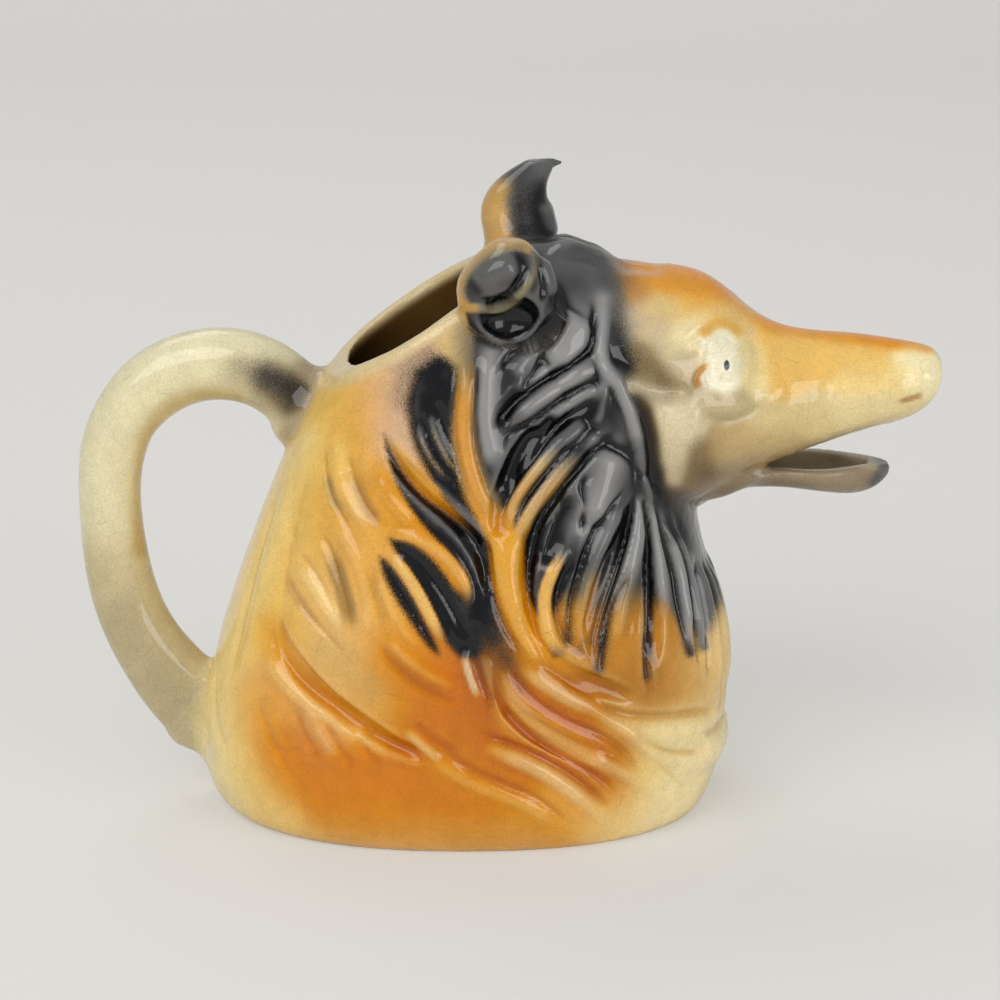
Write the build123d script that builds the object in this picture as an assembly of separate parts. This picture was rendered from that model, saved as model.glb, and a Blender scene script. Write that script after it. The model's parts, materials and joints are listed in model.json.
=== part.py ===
from build123d import *
import math
import os

# A slip-cast earthenware cream jug in the form of a long-haired dog's head and
# ruff. The milk goes in behind the ears and pours out over the lower jaw.
# Millimetres. +Z up, +X towards the nose, -Y the dog's right side, and the
# origin in the middle of the foot.

# Cast walls
bust_wall = 4.0
head_wall = 3.4
floor_thickness = 5.0
cut_overrun = 6.0

# Bust: the ruff, from the table up to the sloping filling mouth
bust_length = 93.0
bust_width = 64.0
bust_height = 97.6
bust_squareness_share = 2.25

# Head: skull, forehead and muzzle. The nose stands out past the ruff, the crown
# rises above the rim, and the ruff stands out past the skull on each side.
nose_overhang = 35.7
crown_rise = 2.4
ruff_overhang = 9.5
head_reach = bust_length / 2 + nose_overhang
head_height = bust_height + crown_rise
head_width = bust_width - 2 * ruff_overhang
head_squareness_share = 2.1

# Lower jaw: an open trough luted under the muzzle
jaw_length = 38.0
jaw_width = 15.0
jaw_depth = 7.2
jaw_wall = 2.0
jaw_squareness_share = 2.3

# Pouring hole through the throat, level with the floor of the trough
pour_hole_width = 10.0
pour_hole_height = 7.0
pour_hole_length = 34.0
pour_hole_squareness_share = 3.2

# Handle: a solid loop, oval in section
handle_reach = 31.3
handle_thickness = 11.6
handle_width = 11.0

# Ears: hoods hollowed from below, each with its own length, height and depth
left_ear_length = 15.4
left_ear_height = 22.0
left_ear_depth = 13.0
right_ear_length = 17.0
right_ear_height = 19.0
right_ear_depth = 15.6
ear_wall = 2.4
ear_tip_thickness = 4.0

# Main grooves between the locks of hair, round in section
hair_groove_radius = 2.2
hair_groove_depth = 1.3
hair_groove_runout = 0.6

# Fillets of slip that lute the handle, the jaw and the ears to the body
handle_luting_growth = 1.7
handle_luting_reach = 5.6
ear_luting_growth = 1.0
ear_luting_reach = 2.2
jaw_luting_growth = 1.0
jaw_luting_reach = 2.4

# Stations up the bust, each on a plane through its rear and front edges:
# rear x and rear z, front x and front z, and half width. x is a share of the
# bust's length, z of its height and half width of its width.
bust_station_shares = [
    (-0.435, 0.000, 0.452, 0.000, 0.440),
    (-0.478, 0.045, 0.480, 0.045, 0.486),
    (-0.491, 0.120, 0.496, 0.120, 0.502),
    (-0.477, 0.225, 0.506, 0.245, 0.500),
    (-0.436, 0.370, 0.487, 0.375, 0.487),
    (-0.384, 0.510, 0.447, 0.505, 0.459),
    (-0.340, 0.615, 0.425, 0.640, 0.428),
    (-0.299, 0.700, 0.345, 0.800, 0.402),
    (-0.264, 0.760, 0.220, 0.915, 0.380),
    (-0.239, 0.802, 0.086, 1.000, 0.362),
]

# Stations along the head on upright planes: x as a share of the reach, top and
# bottom as shares of the height, half width as a share of the width, and the
# share by which the section narrows towards its top.
head_station_shares = [
    (-0.030, 0.870, 0.690, 0.220, 0.00),
    (0.060, 0.962, 0.610, 0.430, 0.02),
    (0.155, 0.996, 0.560, 0.480, 0.03),
    (0.255, 0.984, 0.532, 0.492, 0.04),
    (0.345, 0.964, 0.526, 0.472, 0.06),
    (0.440, 0.954, 0.536, 0.430, 0.08),
    (0.520, 0.934, 0.560, 0.372, 0.10),
    (0.590, 0.889, 0.592, 0.310, 0.10),
    (0.670, 0.851, 0.620, 0.252, 0.10),
    (0.790, 0.838, 0.656, 0.196, 0.10),
    (0.900, 0.827, 0.682, 0.158, 0.08),
    (0.965, 0.817, 0.706, 0.128, 0.04),
    (1.000, 0.796, 0.742, 0.076, 0.00),
]

# The jaw's root lies at these shares of the head's reach and height. Its
# stations run forwards from there: x as a share of the length, rim and
# underside as shares of the depth, half width as a share of the width.
jaw_root_x_share = 0.440
jaw_root_z_share = 0.576
jaw_station_shares = [
    (0.00, 0.48, -0.55, 0.40),
    (0.16, 0.50, -0.30, 0.50),
    (0.34, 0.51, -0.11, 0.48),
    (0.52, 0.50, -0.09, 0.46),
    (0.70, 0.50, -0.20, 0.43),
    (0.86, 0.49, -0.26, 0.33),
    (0.95, 0.47, -0.08, 0.21),
    (1.00, 0.45, 0.20, 0.08),
]

# Centre line of the handle, from inside the upper joint round to inside the
# lower one: x out from the straight line between the joints as a share of the
# reach, z between the joints as a share of their distance, and the thickness
# as a share of the handle's own. The joints lie at shares of the bust's height.
handle_top_share = 0.738
handle_bottom_share = 0.168
handle_path_shares = [
    (-0.150, 0.920, 1.08),
    (0.090, 1.010, 1.06),
    (0.325, 1.086, 1.07),
    (0.540, 1.113, 1.08),
    (0.700, 1.104, 1.07),
    (0.843, 1.067, 1.06),
    (0.955, 0.993, 1.01),
    (1.000, 0.903, 0.97),
    (0.955, 0.725, 0.93),
    (0.837, 0.550, 0.95),
    (0.693, 0.388, 1.00),
    (0.515, 0.245, 1.05),
    (0.335, 0.137, 1.14),
    (0.125, 0.034, 1.30),
    (-0.090, -0.045, 1.48),
]

# Each ear's seat on the head, as shares of its reach, half its width and its
# height. Stations rise from the seat: x of the middle as a share of the ear's
# length, y outwards as a share of its depth and z as a share of its height,
# then half length and half depth as shares of the same.
left_ear_seat_share = (0.140, 0.700, 0.880)
left_ear_station_shares = [
    (0.02, 0.00, 0.00, 0.44, 0.40),
    (0.00, 0.10, 0.22, 0.48, 0.48),
    (-0.10, 0.28, 0.46, 0.41, 0.50),
    (-0.13, 0.42, 0.62, 0.39, 0.46),
    (-0.10, 0.54, 0.76, 0.33, 0.38),
    (0.02, 0.62, 0.88, 0.26, 0.28),
    (0.12, 0.66, 0.98, 0.12, 0.13),
]
left_ear_tip_shares = [
    (0.00, 0.58, 0.84, 1.00),
    (0.14, 0.66, 0.92, 0.75),
    (0.28, 0.70, 0.95, 0.45),
    (0.40, 0.74, 0.95, 0.16),
]
right_ear_seat_share = (0.094, 0.700, 0.856)
right_ear_station_shares = [
    (0.02, 0.00, 0.00, 0.42, 0.36),
    (0.00, 0.10, 0.22, 0.48, 0.46),
    (-0.01, 0.22, 0.46, 0.49, 0.50),
    (0.00, 0.30, 0.66, 0.43, 0.46),
    (0.02, 0.36, 0.84, 0.30, 0.34),
    (0.04, 0.38, 0.97, 0.14, 0.16),
]

# The hollow under each ear's fold: its middle from the seat, and its half
# height as a share of the ear's height.
ear_hollow_share = (0.05, 0.80, 0.27)
ear_hollow_height_share = 0.28

# Lines of the main grooves, the same on both sides. Each point is x as a share
# of the bust's length and z as a share of its height.
hair_groove_shares = [
    # From the seam down and back into the mane
    [(0.245, 0.810), (0.180, 0.762), (0.122, 0.715), (0.082, 0.650), (0.075, 0.560)],
    [(0.260, 0.745), (0.190, 0.672), (0.144, 0.600), (0.120, 0.520), (0.112, 0.440)],
    # The fan over the chest
    [(0.312, 0.640), (0.292, 0.560), (0.250, 0.450), (0.236, 0.330)],
    [(0.338, 0.610), (0.346, 0.500), (0.352, 0.400), (0.352, 0.300)],
    # The lower border of the ruff and the fold under it
    [(0.115, 0.500), (0.128, 0.425), (0.175, 0.355), (0.255, 0.305), (0.320, 0.268)],
    [(0.062, 0.370), (0.100, 0.270), (0.178, 0.212), (0.280, 0.160)],
    # Long locks down the rear
    [(-0.132, 0.750), (-0.095, 0.680), (-0.030, 0.622), (0.028, 0.560), (0.046, 0.460)],
    [(-0.345, 0.455), (-0.288, 0.325), (-0.160, 0.232), (-0.015, 0.162)],
]


def oval_face(centre, half_length, half_width, along, across, squareness=2.0, narrowing=0.0):
    """A closed smooth section round a centre, in the plane of two unit vectors."""
    points = []
    for step in range(16):
        turn = 2 * math.pi * step / 16
        cosine = math.cos(turn)
        sine = math.sin(turn)
        out = math.copysign(abs(cosine) ** (2 / squareness), cosine) * half_length
        side = math.copysign(abs(sine) ** (2 / squareness), sine) * half_width
        points.append(centre + along * out + across * side * (1 - narrowing * cosine))
    return Face(Wire([Edge.make_spline(points, periodic=True)]))


def half_oval_face(centre, depth, half_width):
    """The lower half of an upright oval, closed by a straight line across its top."""
    points = []
    for step in range(9):
        turn = math.pi * step / 8
        down = abs(math.sin(turn)) ** (2 / jaw_squareness_share)
        side = math.copysign(abs(math.cos(turn)) ** (2 / jaw_squareness_share), math.cos(turn))
        points.append(centre + Vector(0, side * half_width, -down * depth))
    return Face(Wire([Edge.make_spline(points), Edge.make_line(points[-1], points[0])]))


def bust_station(row, inset=0.0, lift=0.0):
    """One section of the bust, drawn in by an inset and lifted square to its plane."""
    rear_x, rear_z, front_x, front_z, half_width = row
    rear = Vector(rear_x * bust_length, 0, rear_z * bust_height)
    front = Vector(front_x * bust_length, 0, front_z * bust_height)
    along = (front - rear).normalized()
    normal = along.cross(Vector(0, 1, 0))
    centre = (rear + front) * 0.5 + normal * lift
    half_length = (front - rear).length / 2 - inset
    side = half_width * bust_width - inset
    return oval_face(centre, half_length, side, along, Vector(0, 1, 0), bust_squareness_share)


def bust_solid(inset=0.0, bottom=0.0, overrun=0.0):
    """The bust as a smooth loft. An inset gives the cavity, an overrun carries it past the rim."""
    foot, *upper = bust_station_shares
    faces = [bust_station(foot, inset, bottom)]
    for row in upper:
        if row[1] * bust_height > bottom:
            faces.append(bust_station(row, inset))
    if overrun:
        faces.append(bust_station(upper[-1], inset, overrun))
    return loft(faces)


def head_solid(inset=0.0, palate=0.0):
    """The head as a smooth loft. Its cavity stays above the palate in front of the throat."""
    faces = []
    for x, top, bottom, half_width, narrowing in head_station_shares:
        if half_width * head_width < inset * 2:
            continue
        high = top * head_height - inset
        low = bottom * head_height + inset
        if palate and x > jaw_root_x_share:
            low = max(low, palate + inset)
        side = half_width * head_width - inset
        centre = Vector(x * head_reach, 0, (high + low) / 2)
        up = Vector(0, 0, 1)
        faces.append(oval_face(centre, (high - low) / 2, side, up, Vector(0, 1, 0), head_squareness_share, narrowing))
    return loft(faces)


def rear_point(height_share):
    """The point on the bust's rear edge at a share of its height."""
    rows = bust_station_shares
    for lower, upper in zip(rows, rows[1:]):
        if lower[1] <= height_share <= upper[1]:
            blend = (height_share - lower[1]) / (upper[1] - lower[1])
            x = lower[0] + blend * (upper[0] - lower[0])
            return Vector(x * bust_length, 0, height_share * bust_height)


def handle_line():
    """Points round the handle's loop from its upper to its lower joint, with half its thickness."""
    top = rear_point(handle_top_share)
    bottom = rear_point(handle_bottom_share)
    points = []
    halves = []
    for out, up, thickness in handle_path_shares:
        points.append(bottom + (top - bottom) * up - Vector(out * handle_reach, 0, 0))
        halves.append(thickness * handle_thickness / 2)
    return points, halves


def handle_solid():
    """The handle's loop as a loft, with its two ends inside the bust."""
    points, halves = handle_line()
    faces = []
    for index, point in enumerate(points):
        before = points[max(index - 1, 0)]
        after = points[min(index + 1, len(points) - 1)]
        along = (after - before).normalized().cross(Vector(0, 1, 0))
        faces.append(oval_face(point, halves[index], handle_width / 2, along, Vector(0, 1, 0)))
    return loft(faces)


def handle_collar(last, before):
    """A bulge of slip round one end of the handle, where its line enters the bust."""
    points, halves = handle_line()
    inside = handle_path_shares[last][0]
    outside = handle_path_shares[before][0]
    root = points[last] + (points[before] - points[last]) * (inside / (inside - outside))
    along = (points[before] - points[last]).normalized()
    grown_thickness = (halves[last] + halves[before]) / 2 + handle_luting_growth
    grown_width = handle_width / 2 + handle_luting_growth
    bulge = scale(Sphere(1), by=(handle_luting_reach, grown_thickness, grown_width))
    return Plane(origin=root, x_dir=along, z_dir=(0, 1, 0)).location * bulge


def ear_point(seat, side, x, y, z, length, depth, height):
    """A point from an ear's seat, with y outwards on that side of the head."""
    across = seat[1] * head_width / 2 + y * depth
    return Vector(seat[0] * head_reach + x * length, side * across, seat[2] * head_height + z * height)


def ear_solid(side, seat, stations, length, depth, height, growth=0.0):
    """An ear's outer shape as a loft of level ovals."""
    faces = []
    for x, y, z, half_length, half_depth in stations:
        centre = ear_point(seat, side, x, y, z, length, depth, height)
        half_x = half_length * length + growth
        half_y = half_depth * depth + growth
        faces.append(oval_face(centre, half_x, half_y, Vector(1, 0, 0), Vector(0, 1, 0)))
    return loft(faces)


def ear_tip(side, seat, tip, length, depth, height):
    """The pointed tip of an ear, curling forwards from its crown."""
    points = [ear_point(seat, side, x, y, z, length, depth, height) for x, y, z, size in tip]
    faces = []
    for index, point in enumerate(points):
        before = points[max(index - 1, 0)]
        after = points[min(index + 1, len(points) - 1)]
        tangent = (after - before).normalized()
        across = tangent.cross(Vector(0, 0, 1)).normalized()
        half = tip[index][3] * ear_tip_thickness / 2
        faces.append(oval_face(point, half, half, across.cross(tangent), across))
    return loft(faces)


def ear_hollow(side, seat, length, depth, height):
    """The hollow under the fold of an ear, opening outwards and downwards."""
    centre = ear_point(seat, side, *ear_hollow_share, length, depth, height)
    halves = (length / 2 - ear_wall, depth / 2, ear_hollow_height_share * height)
    return Pos(centre) * scale(Sphere(1), by=halves)


def jaw_solid(growth=0.0):
    """The jaw's outer shape. Growth adds to its sides and underside and lowers the rim."""
    faces = []
    for x, rim, underside, half_width in jaw_station_shares:
        centre = jaw_root + Vector(x * jaw_length, 0, rim * jaw_depth - growth)
        faces.append(half_oval_face(centre, (rim - underside) * jaw_depth, half_width * jaw_width + growth))
    return loft(faces)


def jaw_trough():
    """The hollow of the jaw, a wall inside its sides, underside and tip, open above."""
    faces = []
    for x, rim, underside, half_width in jaw_station_shares[:-1]:
        centre = jaw_root + Vector(x * (jaw_length - jaw_wall), 0, rim * jaw_depth + jaw_wall)
        depth = (rim - underside) * jaw_depth
        faces.append(half_oval_face(centre, depth, half_width * jaw_width - jaw_wall))
    return loft(faces)


def hair_groove(row, side):
    """A round-bottomed groove along one side of the body that runs out at both its ends."""
    centres = []
    for index, (x, z) in enumerate(row):
        outwards = Axis((x * bust_length, 0, z * bust_height), (0, side, 0))
        place, normal = max(body_outer.find_intersection_points(outwards), key=lambda hit: side * hit[0].Y)
        if normal.Y * side < 0:
            normal = -normal
        at_end = index in (0, len(row) - 1)
        rise = hair_groove_radius + (hair_groove_runout if at_end else -hair_groove_depth)
        centres.append(place + normal * rise)
    faces = []
    for index, centre in enumerate(centres):
        before = centres[max(index - 1, 0)]
        after = centres[min(index + 1, len(centres) - 1)]
        tangent = (after - before).normalized()
        across = tangent.cross(Vector(0, 1, 0)).normalized()
        faces.append(oval_face(centre, hair_groove_radius, hair_groove_radius, across.cross(tangent), across))
    return loft(faces)


# Body casting
jaw_root = Vector(jaw_root_x_share * head_reach, 0, jaw_root_z_share * head_height)
trough_floor = jaw_root.Z + jaw_station_shares[3][2] * jaw_depth + jaw_wall
palate = trough_floor + pour_hole_height
head_outer = head_solid()
bust_outer = bust_solid()
body_outer = bust_outer + head_outer
bust_cavity = bust_solid(bust_wall, floor_thickness, cut_overrun)
head_cavity = head_solid(head_wall, palate)
hole_middle = Vector(jaw_root.X - head_wall, 0, (trough_floor + palate) / 2)
hole_section = oval_face(
    hole_middle,
    pour_hole_height / 2,
    pour_hole_width / 2,
    Vector(0, 0, 1),
    Vector(0, 1, 0),
    pour_hole_squareness_share,
)
pour_hole = extrude(hole_section, amount=pour_hole_length, dir=(1, 0, 0))
grooves = [hair_groove(row, side) for row in hair_groove_shares for side in (-1, 1)]
body_casting = body_outer - bust_cavity - head_cavity - pour_hole - grooves

# The way into the filling mouth, which the ears and the handle keep clear of
mouth_way = bust_solid(overrun=cut_overrun)

# Handle and its two fillets
handle_outer = handle_solid()
handle = handle_outer - bust_outer
upper_fillet = handle_collar(0, 1) - bust_outer - handle_outer
lower_fillet = handle_collar(-1, -2) - bust_outer - handle_outer

# Lower jaw and its fillet
jaw_outer = jaw_solid()
lower_jaw = jaw_outer - jaw_trough() - body_outer
jaw_collar = jaw_solid(jaw_luting_growth) & head_solid(-jaw_luting_reach)
jaw_fillet = jaw_collar - jaw_outer - body_outer

# Ears and their fillets
ears = {
    "left": (1, left_ear_seat_share, left_ear_station_shares, left_ear_length, left_ear_depth, left_ear_height),
    "right": (-1, right_ear_seat_share, right_ear_station_shares, right_ear_length, right_ear_depth, right_ear_height),
}

parts = {
    "body_casting": body_casting,
    "handle": handle,
    "handle_upper_luting": upper_fillet,
    "handle_lower_luting": lower_fillet,
    "lower_jaw": lower_jaw,
    "jaw_luting": jaw_fillet,
}
head_reached = head_solid(-ear_luting_reach)
for name, (side, seat, stations, length, depth, height) in ears.items():
    ear = ear_solid(side, seat, stations, length, depth, height)
    if name == "left":
        ear += ear_tip(side, seat, left_ear_tip_shares, length, depth, height)
    parts[name + "_ear"] = ear - ear_hollow(side, seat, length, depth, height) - mouth_way - body_outer
    collar = ear_solid(side, seat, stations, length, depth, height, ear_luting_growth) & head_reached
    parts[name + "_ear_luting"] = collar - ear - mouth_way - body_outer

os.makedirs("parts", exist_ok=True)
for name, shape in parts.items():
    print(name, len(shape.solids()), round(shape.volume, 1))
    export_step(shape, "parts/" + name + ".step")
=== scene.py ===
import json
import math

import bmesh
import bpy
import numpy as np
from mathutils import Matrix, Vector
from mathutils.bvhtree import BVHTree


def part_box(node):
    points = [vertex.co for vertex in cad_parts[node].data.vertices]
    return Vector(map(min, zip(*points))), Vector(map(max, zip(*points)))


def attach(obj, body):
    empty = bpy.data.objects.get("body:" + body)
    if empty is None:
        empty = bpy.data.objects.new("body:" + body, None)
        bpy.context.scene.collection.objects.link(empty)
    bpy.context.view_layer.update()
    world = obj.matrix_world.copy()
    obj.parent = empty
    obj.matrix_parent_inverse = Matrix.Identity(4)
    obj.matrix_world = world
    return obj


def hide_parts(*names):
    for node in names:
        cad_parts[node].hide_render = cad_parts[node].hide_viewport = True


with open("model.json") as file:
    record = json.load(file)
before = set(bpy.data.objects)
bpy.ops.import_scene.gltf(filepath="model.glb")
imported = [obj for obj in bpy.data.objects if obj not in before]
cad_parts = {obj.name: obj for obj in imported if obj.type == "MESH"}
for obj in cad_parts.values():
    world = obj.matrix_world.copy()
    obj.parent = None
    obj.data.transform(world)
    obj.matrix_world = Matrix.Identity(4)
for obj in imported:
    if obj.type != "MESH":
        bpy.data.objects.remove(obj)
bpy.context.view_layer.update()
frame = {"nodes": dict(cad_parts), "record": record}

# A glazed earthenware cream jug: one skin is grown over the cast pieces, the
# hair and the face are pressed into it, it is airbrushed, and then it is cut
# back into the potter's pieces. Millimetres until the meshes are made.

millimetre = 0.001
tiny = 1e-9         # keeps a division from failing
farOff = 1e9        # farther than anything here
pieceNames = [
    "body_casting", "handle", "handle_upper_luting", "handle_lower_luting", "lower_jaw",
    "jaw_luting", "left_ear", "left_ear_luting", "right_ear", "right_ear_luting",
]

# How the jug is looked at. Hair and paint are drawn in this view, in pixels of
# a 1000 x 1000 picture, and go on the near side and, mirrored, on the far side.
view = {
    "target": (6.8, 0.0, 54.0),     # mm
    "distance": 500.0,              # mm
    "elevation": math.radians(16),
    "focal": 2875.0,                # pixels
    "middle": 500.0,                # pixels
    "sensor": 36.0,                 # mm
    "width": 1000.0,                # pixels
}


# The three parts of an sRGB hex colour, from 0 to 1
def toScreen(hexColour):
    return np.array([int(hexColour[i:i + 2], 16) / 255 for i in (1, 3, 5)])


def linearLight(values):
    return np.where(values <= 0.04045, values / 12.92, ((values + 0.055) / 1.055) ** 2.4)


# sRGB hex to linear RGBA
def toLinear(hexColour):
    return linearLight(toScreen(hexColour)).tolist() + [1.0]


def smoothStep(low, high, values):
    share = np.clip((values - low) / (high - low), 0, 1)
    return share * share * (3 - 2 * share)


# Millimetres to pixels of the view. Mirrored, the far side falls on the near one.
def toPicture(points, mirrored=True):
    x = points[:, 0] - view["target"][0]
    y = -np.abs(points[:, 1]) if mirrored else points[:, 1]
    z = points[:, 2] - view["target"][2]
    up = y * math.sin(view["elevation"]) + z * math.cos(view["elevation"])
    depth = view["distance"] + y * math.cos(view["elevation"]) - z * math.sin(view["elevation"])
    across = view["middle"] + view["focal"] * x / depth
    down = view["middle"] - view["focal"] * up / depth
    return np.stack([across, down], 1)


# Which points lie within a margin of a box
def nearBox(points, low, high, margin):
    return np.nonzero(((points > low - margin) & (points < high + margin)).all(1))[0]


# The way to each point from a straight piece of line, and the share of it walked
def offSegment(points, start, end):
    step = end - start
    walked = np.clip(((points - start) @ step) / max(step @ step, tiny), 0, 1)
    return points - (start + walked[:, None] * step), walked


# A smooth line through given points (Catmull-Rom)
def curvePoints(points, steps=4):
    points = [np.array(p, float) for p in points]
    ends = [2 * points[0] - points[1]] + points + [2 * points[-1] - points[-2]]
    line = []
    for before, start, end, after in zip(ends, ends[1:], ends[2:], ends[3:]):
        for step in range(steps):
            t = step / steps
            line.append(0.5 * (2 * start + (end - before) * t
                               + (2 * before - 5 * start + 4 * end - after) * t * t
                               + (3 * start - before - 3 * end + after) * t ** 3))
    line.append(points[-1])
    return np.array(line)


# Which places lie within reach of a line, how far to its left (-) or right (+)
# as one walks along it, and the share of the line walked
def alongLine(places, points, reach):
    line = curvePoints(points)
    near = nearBox(places, line.min(0), line.max(0), reach)
    p = places[near]
    best = np.full(len(near), farOff)
    side = np.ones(len(near))
    share = np.zeros(len(near))
    lengths = np.concatenate([[0], np.cumsum(np.linalg.norm(np.diff(line, axis=0), axis=1))])
    for i in range(len(line) - 1):
        step = line[i + 1] - line[i]
        off, walked = offSegment(p, line[i], line[i + 1])
        distance = np.hypot(off[:, 0], off[:, 1])
        closer = distance < best
        best[closer] = distance[closer]
        side[closer] = np.sign(step[0] * off[closer, 1] - step[1] * off[closer, 0])
        share[closer] = (lengths[i] + walked[closer] * np.linalg.norm(step)) / lengths[-1]
    keep = best < reach
    return near[keep], (best * side)[keep], share[keep]


# 1 along a stroke, falling smoothly to 0 at both ends
def endTaper(share, taper):
    return smoothStep(0, 1, np.minimum(share, 1 - share) / taper)


# Signed distance in pixels to a closed outline, + inside
def insideOutline(places, points, reach=40):
    outline = curvePoints(list(points) + [points[0]])
    near = nearBox(places, outline.min(0), outline.max(0), reach)
    p = places[near]
    best = np.full(len(near), farOff)
    inside = np.zeros(len(near), bool)
    for start, end in zip(outline, outline[1:]):
        off, _ = offSegment(p, start, end)
        best = np.minimum(best, np.hypot(off[:, 0], off[:, 1]))
        crosses = (start[1] > p[:, 1]) != (end[1] > p[:, 1])
        run, rise = end - start
        rise = rise if abs(rise) > tiny else tiny
        inside ^= crosses & (p[:, 0] < start[0] + (p[:, 1] - start[1]) * run / rise)
    return near, np.where(inside, best, -best)


# Smooth noise from -1 to 1 with grains of a size in millimetres
def softNoise(points, size, seed):
    cells = 32          # along each side of the lattice, which repeats
    shift = 16.37       # so that no grain starts at the origin
    lattice = np.random.default_rng(seed).uniform(-1, 1, (cells,) * 3)
    place = points / size + shift
    cell = np.floor(place).astype(int)
    t = place - cell
    t = t * t * (3 - 2 * t)
    total = np.zeros(len(points))
    for corner in np.ndindex(2, 2, 2):
        weight = np.abs(1 - np.array(corner) - t)
        x, y, z = ((cell + corner) % cells).T
        total += weight[:, 0] * weight[:, 1] * weight[:, 2] * lattice[x, y, z]
    return total


# The clay skin over all cast pieces
skin = {
    "voxel": 0.42,              # mm between the skin's points
    "evenRounds": 6,            # smoothing all over
    "evenSteps": (0.5, -0.52),  # in, and a little more out again, so nothing shrinks
    "softness": 0.7,            # how fast a share runs over into its neighbours
    "labelRounds": 5,           # how far a piece's ragged edge is evened
    "labelMargin": 1.2,         # mm, how far a piece's own skin lies from its box
    "labelReach": 9.0,          # mm, the farthest a piece is looked for
    "jointRounds": 34,          # more smoothing where pieces are luted and at the rim
    "jointAmount": 0.5,
    "jointReach": {             # mm, how far round each luting
        "handle_upper_luting": 6.0, "handle_lower_luting": 6.0,
        "left_ear_luting": 2.2, "right_ear_luting": 2.2, "jaw_luting": 2.6,
    },
    # Slip added or wiped off under the handle: place, reach and swelling in mm
    "sponged": [
        ((-42.6, 0.0, 9.4), 4.5, 2.0),
        ((-48.0, 0.0, 11.8), 3.6, -1.9),
    ],
    # Where the slip was sponged smooth: place and reach in mm
    "melted": [
        ((-44.5, 0.0, 10.5), 10.0),
    ],
    "meltRounds": 200,
    "meltAmount": 0.6,
}
# The rim of the filling mouth
rim = {
    "rear": (-22.2, 78.3),      # x and z in mm
    "front": (8.0, 97.6),
    "overhang": (1.0, 3.0),     # mm, how far the smoothing goes on behind and in front
    "roundReach": (1.5, 4.0),   # mm, smoothed fully, and not at all
    "paintReach": (0.8, 2.6),   # mm, the same for the pale paint along it
    "paintShare": 0.8,
    "colour": "#dcc897",
    # Dark tan inside the jug: painted shade of the hollow inside
    "insideShadeColour": "#6d5439",
}
# The middle of the hollow body: down the chest, along the floor, up the back
# and out to the nose. A surface that looks away from it is outside.
cavity = {
    "spine": [(18, 0, 46), (18, 0, 12), (-8, 0, 12), (-6, 0, 45),
              (1, 0, 70), (24, 0, 79), (60, 0, 75), (79, 0, 74)],     # mm
    "facing": (-0.25, 0.25),    # from inside to outside
    "edge": (0.35, 0.65),       # the same, after evening
    "edgeRounds": 8,
    "earRoots": (0.0, 20.5, 84.0),      # mm, past these in x, |y| and z all is outside
}


# One closed mesh over copies of all CAD nodes, in millimetres
def growSkin():
    joined = bmesh.new()
    for name in pieceNames:
        joined.from_mesh(frame["nodes"][name].data)
    bmesh.ops.scale(joined, vec=(1 / millimetre,) * 3, verts=joined.verts)
    mesh = bpy.data.meshes.new("clay")
    joined.to_mesh(mesh)
    joined.free()
    clay = bpy.data.objects.new("clay", mesh)
    bpy.context.scene.collection.objects.link(clay)
    remesh = clay.modifiers.new("skin", "REMESH")
    remesh.mode = "VOXEL"
    remesh.voxel_size = skin["voxel"]
    grown = bpy.data.meshes.new_from_object(clay.evaluated_get(bpy.context.evaluated_depsgraph_get()))
    bpy.data.objects.remove(clay)
    return grown


def meshArrays(mesh):
    points = np.zeros(len(mesh.vertices) * 3)
    mesh.vertices.foreach_get("co", points)
    faces = np.zeros(len(mesh.loops), np.int32)
    mesh.loops.foreach_get("vertex_index", faces)
    edges = np.zeros(len(mesh.edges) * 2, np.int32)
    mesh.edges.foreach_get("vertices", edges)
    return points.reshape(-1, 3), faces.reshape(-1, 4), edges.reshape(-1, 2)


# Moves each value towards the mean of its neighbours, by an amount that may
# differ from point to point
def relax(values, edges, rounds, amount):
    count = len(values)
    a, b = edges.T
    degree = np.bincount(edges.ravel(), minlength=count).astype(float)
    degree[degree == 0] = 1
    flat = values.reshape(count, -1).copy()
    share = np.broadcast_to(np.asarray(amount, float).ravel(), count)
    for _ in range(rounds):
        for column in range(flat.shape[1]):
            field = flat[:, column]
            total = np.bincount(a, field[b], count) + np.bincount(b, field[a], count)
            flat[:, column] = field + share * (total / degree - field)
    return flat.reshape(values.shape)


# Lets a share run over into its neighbours
def soften(share, edges, rounds):
    return relax(share, edges, rounds, skin["softness"])


# Smooths without shrinking
def evenOut(points, edges, rounds):
    for _ in range(rounds):
        for amount in skin["evenSteps"]:
            points = relax(points, edges, 1, amount)
    return points


def pointNormals(points, faces):
    corner = points[faces]
    normal = np.cross(corner[:, 2] - corner[:, 0], corner[:, 3] - corner[:, 1])
    total = np.zeros_like(points)
    for k in range(4):
        for axis in range(3):
            total[:, axis] += np.bincount(faces[:, k], normal[:, axis], len(points))
    return total / np.maximum(np.linalg.norm(total, axis=1, keepdims=True), tiny)


def nodeTree(name):
    mesh = frame["nodes"][name].data
    points = [v.co / millimetre for v in mesh.vertices]
    return BVHTree.FromPolygons(points, [tuple(p.vertices) for p in mesh.polygons])


def nearPiece(points, name, margin):
    low, high = (np.array(corner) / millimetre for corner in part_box(name))
    return nearBox(points, low, high, margin)


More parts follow.
